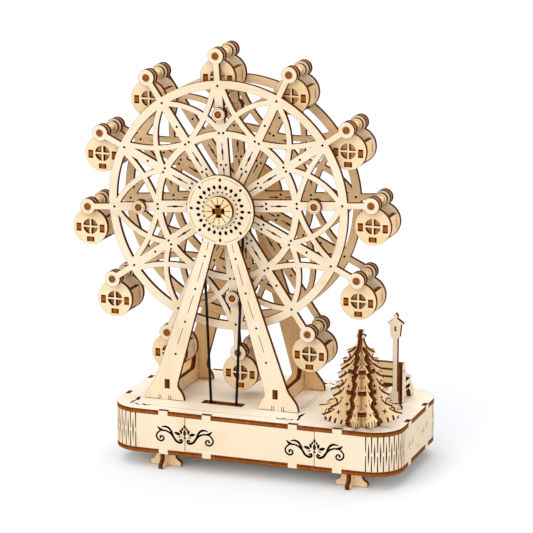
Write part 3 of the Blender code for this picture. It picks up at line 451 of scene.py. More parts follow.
def mesh_of(name, bm, materials, sharp=30):
    mesh = bpy.data.meshes.new(name)
    bm.to_mesh(mesh)
    bm.free()
    for one in materials:
        mesh.materials.append(one)
    mesh.shade_smooth()
    mesh.set_sharp_from_angle(angle=radians(sharp))
    return mesh


def put(name, mesh, body, nodes):
    """The mesh, already in its place, as an object that rides on its body and stands for its nodes."""
    obj = bpy.data.objects.new(name, mesh)
    SCENE.collection.objects.link(obj)
    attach(obj, body)
    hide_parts(*nodes)


def piece(name, bm, body, nodes, along="x", through="y", sharp=30, slots=None):
    put(name, mesh_of(name, bm, slots or wood_slots(along, through), sharp), body, nodes)


def sheet_piece(name, body, node, adds, cuts=(), along="x", through="y", slots=None, **how):
    """A piece that is one cut sheet and stands for one node."""
    bm = new_piece()
    add_sheet(bm, adds, cuts, **how)
    piece(name, bm, body, [node], along, through, slots=slots)


# Wheel: two lattices, the spacers, the crossed axle strips, the caps and the grooved pulleys

PIVOT_R, RIM_R, RIM_W, RING_R, RING_W, HUB_R = 97 * mm, 81.5 * mm, 5.5 * mm, 46.8 * mm, 4.4 * mm, 17 * mm
STRAP_W, ROD_R, DOWEL_R, END_R, AXLE_W = 3.5 * mm, 60 * mm, 2.3 * mm, 5.3 * mm, 8 * mm
ROD_CAP_R, BORE = 4.6 * mm, 4.6 * mm
STEP = 2 * pi / SPOKES
QUARTERS = [q * pi / 2 for q in range(4)]
DOWEL_DEPTHS = (0.42, 0.0, 0.5, 0.5, 0.0, 0.42)   # a dark ring round each end of a dowel
CROSS = (0, pi / 2)


def lattice():
    """The outlines of one lattice, its cuts, and its black and brown marks."""
    adds = [disc(HUB_R, 72)] + ring(RIM_R - RIM_W, RIM_R, 120)
    adds += ring(RING_R - RING_W / 2, RING_R + RING_W / 2, 96)
    cuts = [bar(-AXLE_W / 2 - GAP, AXLE_W / 2 + GAP, PLY + 2 * GAP, a) for a in CROSS]
    black, brown, rim_r, dot = [], [], RIM_R - RIM_W / 2, 0.82 * mm
    for k in range(SPOKES):
        a = k * STEP
        adds += [bar(HUB_R * 0.6, RING_R, 8 * mm, a), bar(RING_R, rim_r, 5.7 * mm, a),
                 bar(rim_r, PIVOT_R - END_R * 0.5, 4.0 * mm, a), circle(*polar(PIVOT_R, a), END_R, 32)]
        cuts.append(circle(*polar(PIVOT_R, a), DOWEL_R + 0.15 * mm, 20))
        for side in (-1, 1):
            if k % 2 == 0:
                centre = polar(43 * mm, a + side * STEP)
                line = arc_between(centre, 45.5 * mm, polar(rim_r, a), polar(RING_R, a - side * STEP), 16)
            else:
                start, through = turned([(rim_r, side * 2.3 * mm), (58.4 * mm, side * 10.5 * mm)], a)
                line = arc_through(start, through, polar(RING_R + 0.8 * mm, a + side * STEP), 10)
            adds.append(band(line, STRAP_W))
            for place in millimetres([(47.6, side * 1.5), (27, side * 1.7)]):
                black.append(circle(*turned([place], a)[0], dot, 10))
        black.append(circle(*polar(78 * mm, a), dot, 10))
        black += [bar(r0 * mm, r1 * mm, 0.6 * mm, a) for r0, r1 in ((30, 33.6), (37.4, 41), (19, 22.4))]
        brown += [lens(32.8 * mm, 38.2 * mm, 1.5 * mm, a), lens(22.0 * mm, 25.6 * mm, 1.2 * mm, a)]
        if k % 3:
            black.append(circle(*polar(ROD_R, a), 0.8 * mm, 10))
    for a in QUARTERS:
        adds.append(circle(*polar(ROD_R, a), ROD_CAP_R, 28))
        cuts.append(circle(*polar(ROD_R, a), DOWEL_R + 0.15 * mm, 20))
    return adds, cuts, black, brown


adds, cuts, black, brown = lattice()
wheel_marks = [(black, INK), (brown, SEPIA)]
WHEEL_Y = 14 * mm
# The rear lattice turns its honey side to the front: a yellower tone that is painted shade for the shadow the front
# lattice casts on it
for name, y, front, back in (("wheel_front", -WHEEL_Y, GOOD, HONEY), ("wheel_rear", WHEEL_Y, HONEY, GOOD)):
    sheet_piece(f"{name}_lattice", "wheel", name, adds, cuts, front=front, back=back,
                at=stand_at(AX, MID_Y + y, AZ, "front", PHASE), marks=wheel_marks, marks_back=wheel_marks)

half = 15.5 * mm
cap_marks = [(ring(3.5 * mm, 3.8 * mm, 24), ARRIS)]
for q, a in enumerate(QUARTERS):
    bm = new_piece()
    x, z = polar(ROD_R, PHASE + a, AX, AZ)
    at = stand_at(x, MID_Y, z, "front")
    tip = half + 2.95 * mm
    add_lathe(bm, rod(DOWEL_R, -tip, tip, 0.15 * mm, 0.25 * mm), at, 24, HONEY, ROUND, DOWEL_DEPTHS)
    for side in (-1, 1):
        add_sheet(bm, [disc(ROD_CAP_R, 40)], [disc(DOWEL_R + 0.05 * mm, 24)], PLY - GAP,
                  side * (half + GAP + (PLY - GAP) / 2), back=GOOD, at=at,
                  marks=cap_marks if side > 0 else (), marks_back=cap_marks if side < 0 else ())
    piece(f"wheel_spacer_rod_{q + 1}", bm, "wheel", [f"wheel_spacer_{q + 1}"])

# The axle: two strips slotted into a cross, the same section along the whole of it
bm = new_piece()
low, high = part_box("wheel_axle")
arm_marks = [bar(2.2 * mm, 3.9 * mm, 2.6 * mm, a) for a in QUARTERS]
add_sheet(bm, [bar(-AXLE_W / 2, AXLE_W / 2, PLY, a) for a in CROSS], (), high.y - low.y, faces=ROUND,
          rim=0.2 * mm, at=stand_at(AX, (low.y + high.y) / 2, AZ, "front", PHASE),
          marks=[(arm_marks, INK), ([disc(1.9 * mm, 16)], ARRIS)], depths=MID_LAYER)
piece("crossed_axle_strips", bm, "wheel", ["wheel_axle"])

cross = [bar(-AXLE_W / 2 - 0.15 * mm, AXLE_W / 2 + 0.15 * mm, PLY + 0.3 * mm, a) for a in CROSS]
lines = [bar((3.4 if k % 3 else 4.7) * mm, 8.4 * mm, 0.5 * mm, k * STEP) for k in range(SPOKES)]
ends = [circle(*polar(8.3 * mm, k * STEP), 0.42 * mm, 8) for k in range(SPOKES) if k % 3]
for name, spin in (("front", PHASE), ("rear", -PHASE)):
    node = f"hub_cap_{name}"
    sheet_piece(f"hub_cap_with_rays_{name}", "wheel", node, [disc(9.5 * mm, 72)], cross, front=HONEY,
                at=stand_at(AX, middle_of(node).y, AZ, name, spin), marks=[(lines, ARRIS), (ends, SEPIA)])

BELT_Y = middle_of("drive_belt").y
CORD_R, GROOVE_BIG, GROOVE_SMALL = 0.9 * mm, 14.3 * mm, 8.1 * mm


def pulley(name, node, body, rim_r, root, bore):
    """Two ply flanges and a smaller ply disc between them, with a ply boss behind."""
    low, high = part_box(node)
    bm = new_piece()
    at = stand_at(middle_of(node).x, 0, middle_of(node).z, "front")
    y0, y1 = BELT_Y - 1.5 * mm, BELT_Y + 1.5 * mm
    y2 = y1 + 1.0 * mm
    for front, back, r in ((low.y, y0, rim_r), (y0, y1, root), (y1, y2, rim_r), (y2, high.y, rim_r * 0.5)):
        if back - front > 0.2 * mm:
            add_sheet(bm, [disc(r, 64)], [disc(bore, 24)], back - front, -(front + back) / 2,
                      back=GOOD, rim=0, at=at)
    piece(name, bm, body, [node])


pulley("grooved_ply_pulley", "drive_pulley", "wheel", 15.6 * mm, 13.1 * mm, BORE)
pulley("grooved_crank_pulley", "crank_pulley", "crank", 9.4 * mm, 6.9 * mm, 2.2 * mm)


# Cabins: one gondola, hung twelve times

def gondola():
    """A cabin round its dowel: windowed front disc, plain rear disc, two side panels, a floor and two washers."""
    bm = new_piece()
    drop, disc_r, window_r, half_bar, side_x = 14.2 * mm, 12 * mm, 5.0 * mm, 0.72 * mm, 8.2 * mm
    disc_y = 15.5 * mm - PLY - 1.3 * mm - PLY / 2
    inside = disc_y - PLY / 2
    tabs = [strip(s * side_x, 3.2 * mm, -drop - 3.5 * mm, -drop + 1.6 * mm) for s in (-1, 1)]
    tabs.append(strip(0, 5 * mm, -drop - 10.05 * mm, -drop - 6.95 * mm))
    t0 = asin(half_bar / window_r)
    pane = [(half_bar, half_bar)] + arc_points((0, 0), window_r, t0, pi / 2 - t0, 7)
    windows = [moved(turned(pane, a), 0, -drop) for a in QUARTERS]
    for side in (-1, 1):
        at = stand_at(0, side * disc_y, 0, "front")
        add_sheet(bm, [circle(0, -drop, disc_r, 64), disc(END_R, 40)],
                  (windows if side < 0 else []) + tabs + [disc(DOWEL_R, 20)],
                  front=HONEY if side < 0 else GOOD, back=HONEY, at=at)
        for tab in tabs:
            play, burn = 0.06 * mm, 0.9 * mm
            x0, x1, z0, z1 = tab[0][0] + play, tab[2][0] - play, tab[0][1] + play, tab[2][1] - play
            ends = [box(x0, x1, z0, z0 + burn), box(x0, x1, z1 - burn, z1)]
            if x1 - x0 > z1 - z0:
                ends = [box(x0, x0 + burn, z0, z1), box(x1 - burn, x1, z0, z1)]
            add_sheet(bm, [box(x0, x1, z0, z1)], (), PLY - 0.1 * mm, faces=ROUND, rim=0.2 * mm, at=at,
                      marks=[(ends, SEPIA)], marks_back=[(ends, SEPIA)], depths=MID_LAYER)
    # The side panels and the floor are in the darker toned veneer: painted shade for the cabin's shaded inside
    for side in (-1, 1):
        add_sheet(bm, [box(-inside, inside, -drop - 6.8 * mm, -drop + 5.5 * mm)], (), faces=TONED_AND_SHADED,
                  at=stand_at(side * side_x, 0, 0, "side"))
    add_sheet(bm, [box(-6.3 * mm, 6.3 * mm, -inside, inside)], (), faces=TONED_AND_SHADED,
              at=stand_at(0, 0, -drop - 8.5 * mm, "flat"))
    upright, end = stand_at(0, 0, 0, "front"), 15.45 * mm
    for side in (-1, 1):
        add_sheet(bm, [disc(3.9 * mm, 32)], [disc(DOWEL_R + 0.05 * mm, 20)], 2.4 * mm,
                  side * (inside - 1.35 * mm), faces=HONEY, rim=0.2 * mm, at=upright)
    add_lathe(bm, rod(DOWEL_R, -end, end, 0.1 * DOWEL_R, 0.2 * mm), upright, 24, HONEY, ROUND, DOWEL_DEPTHS)
    return mesh_of("gondola", bm, wood_slots("x", "y"))


GONDOLA = gondola()
for k in range(SPOKES):
    x, z = polar(PIVOT_R, PHASE + k * STEP, AX, AZ)
    hung = GONDOLA.copy()
    hung.transform(Matrix.Translation((x, MID_Y, z)))
    number = f"{k + 1:02d}"
    put(f"gondola_{number}", hung, f"cabin_{number}_body", [f"cabin_{number}"])


# Stand: two A frames with flared feet, and a low rail between them on each side

AXIS_UP = AZ - DECK
TAB_X, SLOT_W = 39.15 * mm, PLY + 0.3 * mm
foot = -AXIS_UP + GAP
outer = curve_through(millimetres([(44, -111.5), (45, -114.5), (46.6, -117.5), (49, -120.5), (51.2, -123.5),
                                   (52.5, -126.5)]), 4)
inner = curve_through(millimetres([(26, -126.5), (27.5, -123.6), (29.6, -120.8), (30, -118.5), (29.3, -115)]), 4)
leg = [(11.6 * mm, -19.4 * mm)] + outer + [(52.8 * mm, foot), (25.5 * mm, foot)] + inner + [(3.2 * mm, -19.4 * mm)]
dots = millimetres([(10.4, -31), (17.2, -53.1), (24.4, -75.6), (31.1, -97.8)])
dashes = [((8, -21.5), (9.3, -27)), ((11.7, -35), (15.6, -48)), ((18.5, -57.5), (22.5, -69.5)),
          ((26, -80), (29.7, -91.3))]
leg_black = [circle(x, z, 0.78 * mm, 10) for x, z in dots]
leg_brown = [band(millimetres(dash), 0.38 * mm) for dash in dashes]
for x in (35.5, 42.3):
    leg_brown += [box((x + d) * mm, (x + d + 0.42) * mm, foot, foot + 2.9 * mm) for d in (-0.8, 0.5)]
black = [lens(13.55 * mm, 16.65 * mm, 2.25 * mm, k * pi / 12) for k in range(24)]
black += leg_black + [mirrored(m) for m in leg_black]
brown = [circle(*polar(11.8 * mm, (k + 0.5) * pi / 12), 0.66 * mm, 8) for k in range(24)]
brown += [lens(18.3 * mm, 21.0 * mm, 1.9 * mm, k * pi / 4) for k in range(8)]
brown += leg_brown + [mirrored(m) for m in leg_brown]
score = [band(arc_points((0, 0), 20.9 * mm, k * pi / 4 + 0.12, (k + 1) * pi / 4 - 0.12, 8), 0.42 * mm)
         for k in range(8)]
tie_slots = [strip(s * 37.2 * mm, SLOT_W, -AXIS_UP + 7.9 * mm, -AXIS_UP + 13.9 * mm) for s in (-1, 1)]
tabs = [strip(s * TAB_X, 7 * mm, foot - 2.7 * mm, foot + PLY) for s in (-1, 1)]
for name in ("front", "rear"):
    node = f"stand_{name}"
    sheet_piece(f"a_frame_{name}", "base", node, [disc(22.7 * mm, 96), leg, mirrored(leg)] + tabs,
                [disc(BORE, 32)] + tie_slots, "z", back=TONED_AND_SHADED, at=stand_at(AX, middle_of(node).y, AZ, name),
                marks=[(black, INK), (brown, SEPIA), (score, SCORE)])

y0, y1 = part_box("stand_front")[1].y + GAP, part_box("stand_rear")[0].y - GAP
top = 21.5 * mm
rise = [(y1 - y, z) for y, z in millimetres([(9.3, 9.1), (6.6, 10.4), (5.0, 14.0), (4.6, 18.2), (4.8, 21.5)])]
rise = curve_through(rise, 4)
rail = [(y0, GAP), (y1, GAP), (y1, top)] + rise[::-1] + [(y0 + y1 - y, z) for y, z in rise] + [(y0, top)]
rail_tabs = [box(a, b, 8.15 * mm, 13.65 * mm) for a, b in ((y0 - PLY - GAP, y0 + PLY), (y1 - PLY, y1 + PLY + GAP))]
rail_dots = [([circle(y0 + (4 + 4.4 * i) * mm, 4.6 * mm, 0.35 * mm, 8) for i in range(11)], SEPIA)]
for name in ("left", "right"):
    node = f"stand_tie_{name}"
    sheet_piece(f"low_rail_{name}", "base", node, [rail] + rail_tabs, (), "y", "x", faces=TONED_AND_SHADED,
                at=stand_at(middle_of(node).x, 0, DECK, "side"), marks=rail_dots, marks_back=rail_dots)


# Base box: deck and floor with open notches, two flat panels, and two end walls bent round slit corners

W, D, R = 194.3 * mm, 102.8 * mm, 19.5 * mm
BX, BY = BASE.x, BASE.y
FLOOR_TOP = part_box("base_bottom_plate")[1].z
WALL_H = DECK - PLY - FLOOR_TOP
SEAM, PANEL_TAB, BEND_TAB, SIDE_TAB, TAB_W = 43.9 * mm, 29.2 * mm, 58.9 * mm, 19.15 * mm, 6.3 * mm
NOTCH_W, NOTCH_DEEP = TAB_W + 0.3 * mm, PLY + 0.15 * mm
plan = []
for start, (sx, sy) in enumerate(((1, 1), (-1, 1), (-1, -1), (1, -1))):
    plan += [polar(R, (start + i / 20) * pi / 2, sx * (W / 2 - R), sy * (D / 2 - R)) for i in range(21)]


def notch_ends(width):
    """The two stretches, from outside the sheet inwards, that the notches take on its opposite edges."""
    return ((-width / 2 - PLY, -width / 2 + NOTCH_DEEP), (width / 2 - NOTCH_DEEP, width / 2 + PLY))


notches = [strip(x, NOTCH_W, *ends) for x in (-BEND_TAB, -PANEL_TAB, PANEL_TAB, BEND_TAB) for ends in notch_ends(D)]
notches += [box(*ends, y - NOTCH_W / 2, y + NOTCH_W / 2) for y in (-SIDE_TAB, SIDE_TAB) for ends in notch_ends(W)]
wheel_x, belt_y = AX - BX, BELT_Y - BY
post = middle_of("lamp_post")
deck_cuts = notches + [strip(wheel_x, 28 * mm, belt_y - 4.4 * mm, belt_y + 2.9 * mm)]
for node in ("stand_front", "stand_rear"):
    deck_cuts += [rect(wheel_x + s * TAB_X, middle_of(node).y - BY, 7.3 * mm, SLOT_W) for s in (-1, 1)]
deck_cuts.append(rect(post.x - BX, post.y - BY, 4.3 * mm, SLOT_W))


def corner_sprig(x, y, flip_x, flip_y):
    """A printed sprig for a corner of the deck: a bar and a leaf on one side, a curl and its stem on the other."""
    shapes = [band(millimetres([(-3.3, -1.4), (-3.0, 2.2), (-2.5, 6.0)]), [1.1 * mm, 1.6 * mm, 1.2 * mm]),
              millimetres([(-2.8, 6.4), (-0.9, 6.2), (-0.7, 8.4), (-1.5, 11.6), (-3.2, 15.2), (-3.5, 11.4),
                           (-3.2, 8.0)]),
              lens(-0.4 * mm, 2.5 * mm, 1.7 * mm, -0.8), circle(-1.2 * mm, -0.5 * mm, 0.4 * mm, 8),
              band(millimetres([(5.0, 0.5), (5.7, -0.6), (7.0, -1.7), (8.8, -1.9), (10.4, -1.1), (11.2, 0.6)]),
                   [0.8 * mm, 2.1 * mm, 1.9 * mm, 1.5 * mm, 1.0 * mm, 0.3 * mm]),
              band(millimetres([(1.9, -1.8), (3.0, -2.5), (4.4, -2.2)]), [0.7 * mm, 1.2 * mm, 0.7 * mm])]
    return [[(x + px * flip_x, y + py * flip_y) for px, py in s] for s in shapes]


deck_ink = []
front_y, rear_y = -43.3 * mm - BY, 39.5 * mm - BY
for sx in (-1, 1):
    for sy, y in ((-1, front_y), (1, rear_y)):
        deck_ink += corner_sprig(wheel_x + sx * 54.0 * mm, y, -sx, -sy)
deck_score = [strip(wheel_x, 82 * mm, front_y - 1.9 * mm, front_y - 1.5 * mm),
              strip(wheel_x, 88 * mm, 39.2 * mm, 39.5 * mm)]
deck_score += [box(wheel_x + x * mm, wheel_x + (x + 0.4) * mm, -18 * mm, 36 * mm) for x in (-53.4, 51.2, 53.4)]
deck_slots = wood_slots("x", "x", PALE)
deck_slots[WALL] = PLATE_EDGE
sheet_piece("deck", "base", "base_deck", [plan], deck_cuts, slots=deck_slots, back=TONED_AND_SHADED,
            at=stand_at(BX, BY, DECK - PLY / 2, "flat"), marks=[(deck_ink, INK), (deck_score, SCORE)])
feet = {f"foot_{a}_{b}": middle_of(f"foot_{a}_{b}") for a in ("front", "rear") for b in ("left", "right")}
floor_cuts = notches + [rect(m.x - BX, m.y - BY, SLOT_W, 6.3 * mm) for m in feet.values()]
sheet_piece("floor_board", "base", "base_bottom_plate", [plan], floor_cuts, slots=deck_slots, front=TONED_AND_SHADED,
            at=stand_at(BX, BY, FLOOR_TOP - PLY / 2, "flat"))


def tapering(points, widest, ends=0.2, bulb=0.0):
    """A pen stroke through the points in millimetres, thick in its middle, with a round bulb at its last point."""
    line = curve_through(millimetres(points), 4)
    n = len(line) - 1
    made = [band(line, [(ends + (widest - ends) * abs(sin(pi * i / n)) ** 0.7) * mm for i in range(n + 1)])]
    if bulb:
        made.append(circle(*line[-1], bulb * mm, 12))
    return made


def scroll_half():
    """The right half of the printed ornament, from the seam outwards: lotus petals over a bead, and an S scroll that
    ends in two curls, with a long leaf and a short tip over it. Heights are from the bead."""
    halves = [[(0.03, 1.1), (0.75, 1.8), (1.0, 3.1), (0.75, 4.4), (0.03, 5.4)],
              [(0.03, 6.1), (0.55, 6.5), (0.9, 7.3), (0.55, 8.1), (0.03, 8.8)],
              [(0.03, -0.8), (0.6, -0.55), (0.8, 0.0), (0.6, 0.55), (0.03, 0.8)]]
    petals = [(2.05, 4.5, 0.9, 6.9, 1.45), (1.95, 2.3, 3.1, 5.5, 1.8), (2.5, 1.8, 7.3, 3.15, 2.15),
              (1.9, 0.75, 4.8, 0.1, 0.75)]
    outer_curl = [(13.0, 3.6), (15.8, 3.85), (17.9, 2.4), (19.2, 0.7), (19.4, -0.75), (18.7, -2.3), (17.3, -3.3),
                  (16.1, -3.4), (14.8, -2.8), (14.3, -1.6), (14.9, -0.5), (15.9, -0.1), (16.8, -0.5), (16.7, -1.3)]
    inner_curl = [(15.5, 3.8), (13.0, 3.6), (10.3, 2.6), (8.4, 1.0), (6.9, -1.2), (5.7, -2.6), (3.8, -3.5),
                  (2.3, -3.3), (1.7, -2.2), (2.2, -1.35), (3.2, -1.9)]
    leaf = [(7.6, 0.4), (8.2, 1.6), (8.9, 3.1), (10.1, 4.85), (11.5, 5.95), (13.2, 6.35), (14.7, 6.2), (16.1, 5.75)]
    loops = [millimetres(h) for h in halves]
    for x0, z0, x1, z1, width in petals:
        loops.append(lens(0, hypot(x1 - x0, z1 - z0) * mm, width * mm, atan2(z1 - z0, x1 - x0), x0 * mm, z0 * mm))
    loops += tapering(outer_curl, 1.2, 0.9, 0.75) + tapering(inner_curl, 1.55, 0.8, 0.72)
    return loops + tapering(leaf, 1.5) + tapering([(13.6, 3.5), (15.4, 3.8), (17.3, 4.6), (18.7, 6.1)], 1.6)


SCROLL = [moved(loop, 0, 9.4 * mm) for loop in scroll_half()]


def scroll_pair(left, right):
    """The ornament's right half from the left seam, and its left half up to the right one."""
    return [moved(s, left, 0) for s in SCROLL] + [moved(mirrored(s), right, 0) for s in SCROLL]


half = SEAM - GAP / 2
panel = [box(-half, half, 0.1 * mm, WALL_H - 0.1 * mm)]
panel += [strip(s * PANEL_TAB, TAB_W, -PLY, WALL_H + PLY) for s in (-1, 1)]
for name, y in (("front", -1), ("rear", 1)):
    hole = [circle(-wheel_x, SHAFT_Z - FLOOR_TOP, 2.3 * mm, 24)] if y > 0 else []
    sheet_piece(f"panel_{name}", "base", f"wall_{name}", panel, hole, back=TONED_AND_SHADED,
                at=stand_at(BX, BY + y * (D / 2 - PLY / 2), FLOOR_TOP, name), marks=[(scroll_pair(-SEAM, SEAM), INK)])


def bent_end(side):
    """An end wall cut flat and bent round its two corners, where seventeen columns of slits let it flex."""
    r, hx, hy = R - PLY / 2, W / 2 - R, D / 2 - R
    flap, arc, end = hx - SEAM - GAP / 2, r * pi / 2, 2 * hy
    total = 2 * flap + 2 * arc + end

    def place_at(s, z, lift):
        """Distance along the sheet, height, and depth through it, as a place on the bent wall."""
        rr = r + lift
        if s < flap:
            x, y = SEAM + GAP / 2 + s, -hy - rr
        elif s < flap + arc:
            t = (s - flap) / r
            x, y = hx + rr * sin(t), -hy - rr * cos(t)
        elif s < flap + arc + end:
            x, y = hx + rr, -hy + s - flap - arc
        elif s < total - flap:
            t = (s - flap - arc - end) / r
            x, y = hx + rr * cos(t), hy + rr * sin(t)
        else:
            x, y = SEAM + GAP / 2 + total - s, hy + rr
        return Vector((BX + side * x, BY + y, FLOOR_TOP + z))

    stops = [0.0, flap, flap + arc, flap + arc + end, total - flap, total]
    folds = [flap + arc * i / 34 for i in range(1, 34)]
    lines = sorted(stops + folds + [total - f for f in folds])
    adds = [box(a, b, 0.1 * mm, WALL_H - 0.1 * mm) for a, b in zip(lines, lines[1:])]
    cuts, pitch, h = [], 1.76 * mm, WALL_H
    half_slit = [(0.36 * mm, h * 0.36), (0.44 * mm, h * 0.5), (0.36 * mm, h * 0.64)]
    slit = [(0, h * 0.13)] + half_slit + [(0, h * 0.87)] + mirrored(half_slit)
    for first, way in ((flap + 0.25 * mm, 1), (total - flap - 0.25 * mm, -1)):
        for i in range(17):
            s = first + way * i * pitch
            if i % 2:
                cuts.append(moved(slit, s, 0))
            else:
                for mouth, tip in ((-PLY, h * 0.45), (h + PLY, h * 0.55)):
                    wide, narrow = 0.42 * mm, 0.26 * mm
                    cuts.append([(s - wide, mouth), (s + wide, mouth), (s + narrow, tip), (s - narrow, tip)])
    tabs = [BEND_TAB - SEAM - GAP / 2, total - BEND_TAB + SEAM + GAP / 2, total / 2 - SIDE_TAB, total / 2 + SIDE_TAB]
    adds += [strip(s, TAB_W, -PLY, h + PLY) for s in tabs]
    sparkles = []
    for s, z, size in ((0.78, 0.57, 3.0), (0.66, 0.48, 3.6), (0.30, 0.48, 2.7), (0.19, 0.45, 3.4), (0.49, 0.72, 2.0),
                       (0.47, 0.22, 2.0)):
        for a in QUARTERS:
            sparkles.append(lens(0, size * mm, size * 0.3 * mm, a, flap + arc + end * s, h * z))
    return adds, cuts, place_at, [(scroll_pair(0, total), INK), (sparkles, SCORE)]


for name, side in (("left", -1), ("right", 1)):
    adds, cuts, place_at, marks = bent_end(side)
    bm = new_piece()
    add_sheet(bm, adds, cuts, back=TONED_AND_SHADED, rim=0, shape=place_at, marks=marks)
    if side < 0:
        bmesh.ops.reverse_faces(bm, faces=bm.faces)
    piece(f"bent_end_{name}", bm, "base", [f"wall_{name}_bend"], along="z", sharp=20)

# Feet: two plates lapped into a cross, with leaf-shaped ends
LAP = PLY / 2 + 0.02 * mm   # where a half sheet starts that butts against one it crosses
half_foot = millimetres([(7.6, 9.7), (7.0, 8.2), (6.9, 6.6), (7.4, 5.2), (8.6, 4.0), (10.0, 3.3), (10.6, 2.5),
                         (10.7, 1.2), (10.1, 0.0)])
wing = [(LAP, half_foot[0][1])] + half_foot + [(LAP, 0)]
for node, m in feet.items():
    bm = new_piece()
    across, along = stand_at(m.x, m.y, 0, "front"), stand_at(m.x, m.y, 0, "side")
    # Both plates take the darker veneers, honey across and toned along: painted shade, for the feet stand in the base's
    # shadow
    add_sheet(bm, [both_sides(half_foot)], (), faces=HONEY, at=across)
    for loop in (mirrored(wing), wing):
        add_sheet(bm, [loop], (), faces=TONED_AND_SHADED, at=along)
    add_sheet(bm, [strip(0, 6 * mm, 9.7 * mm, 12.6 * mm)], (), faces=WALL, rim=0, at=along)
    piece(f"cross_lapped_{node}", bm, "base", [node], along="z")


# Tree: eight feathery blades pressed round three discs, and a star

TREE = middle_of("tree")
LEAVES = [[(27.4, 10.1), (24.0, 10.5), (21.5, 11.4), (19.1, 12.8)],
          [(20.9, 14.2), (17.4, 15.1), (15.8, 16.2), (14.2, 17.9)],
          [(19.3, 21.4), (15.7, 22.5), (13.6, 24.0), (12.2, 26.0)],
          [(16.2, 26.3), (13.6, 27.4), (12.0, 29.0), (10.7, 31.2)],
          [(15.3, 32.7), (12.6, 33.7), (9.9, 35.5), (7.3, 38.3)],
          [(13.8, 37.9), (10.7, 39.3), (8.0, 41.0), (4.9, 43.9)],
          [(12.0, 42.2), (9.6, 42.8), (7.6, 44.2), (5.6, 46.8), (3.4, 49.9)]]
LAST_LEAF = [(9.1, 48.3), (6.5, 49.2), (4.3, 50.8), (2.7, 53.4), (1.9, 55.8), (1.5, 57.4)]


def blade(inner):
    """Half of the tree in profile, from its inner edge outwards: drooping leaves parted by slits, over a skirt of
    slanting fingers."""
    loop = [(inner, 0.5), (8.2, 0.5), (10.6, 1.3)]
    for x, z, rise in ((11.3, 1.6, 1.6), (14.9, 2.2, 2.6), (19.2, 3.4, 3.2), (22.8, 5.0, 3.4)):
        loop += [(x - 0.6, z - 0.1), (x - 1.6, z + rise), (x - 0.5, z + rise + 0.3), (x + 0.95, z + 0.15)]
    loop += [(25.0, 6.6), (24.4, 7.6), (25.6, 9.1)]
    for leaf, above in zip(LEAVES, LEAVES[1:] + [LAST_LEAF]):
        edge = curve_through(leaf, 4)
        loop += edge
        back = [(x + 0.42, z + 0.62) for x, z in edge[:len(edge) // 2:-1]]
        tip, (mx, mz) = above[0], back[-1]
        loop += back + [(mx + 0.25 * (tip[0] - mx), mz + 0.55 * (tip[1] - mz)), (tip[0] - 0.6, tip[1] - 0.8)]
    loop += curve_through(LAST_LEAF, 4)
    loop = [p for p in loop if p[0] > inner]
    return millimetres([(inner, 0.5)] + loop + [(inner, loop[-1][1])])


def little_star(x, z, size):
    return [polar((size if i % 2 == 0 else size * 0.32) * mm, i * pi / 4, x * mm, z * mm) for i in range(8)]


STARS = ((16.4, 10.6, 2.0), (10.4, 15.0, 2.0), (14.2, 19.6, 1.3), (9.4, 26.6, 1.8), (6.9, 32.4, 1.5), (9.8, 6.2, 1.4),
         (5.6, 41.2, 1.1))
DISCS = ((9.6, 11.2), (23.2, 11.0), (36.7, 9.8))   # height and radius in millimetres
CORE_R = 3.7                                        # the straight blades meet at the middle, the others stop here
bm = new_piece()
stars = [([little_star(*star) for star in STARS], INK)]
for k in range(8):
    inner = (0.0, CORE_R, LAP / mm, CORE_R)[k % 4]
    lap = [box(3.9 * mm, (r - 2.0) * mm, (h - 1.6) * mm, (h + 1.6) * mm) for h, r in DISCS]
    add_sheet(bm, [blade(inner)], lap, faces=HONEY, rim=0.1 * mm,
              at=stand_at(TREE.x, TREE.y, DECK, (pi / 2, 0, k * pi / 4)), marks=stars, marks_back=stars)
for h, r in DISCS:
    disc_cuts = [turned(box((r - 2.1) * mm, (r + 1) * mm, -1.55 * mm, 1.55 * mm), k * pi / 4) for k in range(8)]
    add_sheet(bm, [disc(r * mm, 64)], disc_cuts + [disc(3.8 * mm, 24)], front=GOOD, back=HONEY,
              at=stand_at(TREE.x, TREE.y, DECK + h * mm, "flat"))
piece("feathered_fir_tree", bm, "base", ["tree"], along="z")

bm = new_piece()
arms = millimetres([(1.5, -2.6), (1.5, -1.4), (2.9, -0.9), (3.2, 0.1), (2.7, 0.6), (1.6, 0.9)])
knob = millimetres([(1.6, 0.92), (1.45, 1.5), (1.9, 2.0), (1.9, 3.0), (1.3, 3.6)])
wing = [(LAP, arms[0][1])] + arms[2:-1] + [(LAP, 0.9 * mm)]
for loop, facing, rim in ((both_sides(arms), "front", 0.1 * mm), (both_sides(knob), "side", 0.1 * mm),
                          (wing, "side", 0), (mirrored(wing), "side", 0)):
    add_sheet(bm, [loop], (), rim=rim, at=stand_at(TREE.x, TREE.y, DECK + 58.3 * mm, facing))
piece("crossed_star", bm, "base", ["tree_star"], along="z")


# Lamp post

half = millimetres([(4.8, 0.3), (4.3, 1.6), (3.4, 2.9), (2.9, 4.2), (2.5, 6.6), (2.5, 11.2), (1.55, 12.5), (1.55, 47.0),
                    (2.9, 48.3), (3.1, 49.3), (3.75, 56.6), (5.0, 56.8), (5.5, 57.4), (1.1, 60.4), (1.15, 60.9),
                    (1.65, 61.9), (0.2, 63.9)])
window = millimetres([(0.3, 52.2), (0.62, 52.6), (0.62, 53.3), (0.4, 53.75), (0.58, 54.2), (0.58, 54.9), (0.3, 55.3)])
sheet_piece("lantern_post", "base", "lamp_post", [both_sides(half), strip(0, 4 * mm, -2.7 * mm, PLY)],
            [both_sides(window)], "z", at=stand_at(post.x, post.y, DECK, "front"))


# Bench: it faces the back, so its back slats show from the front

BENCH_D, BENCH_H, LIFT = 25.0, 27.5, 0.3   # the bench's side in millimetres, and the gap under it


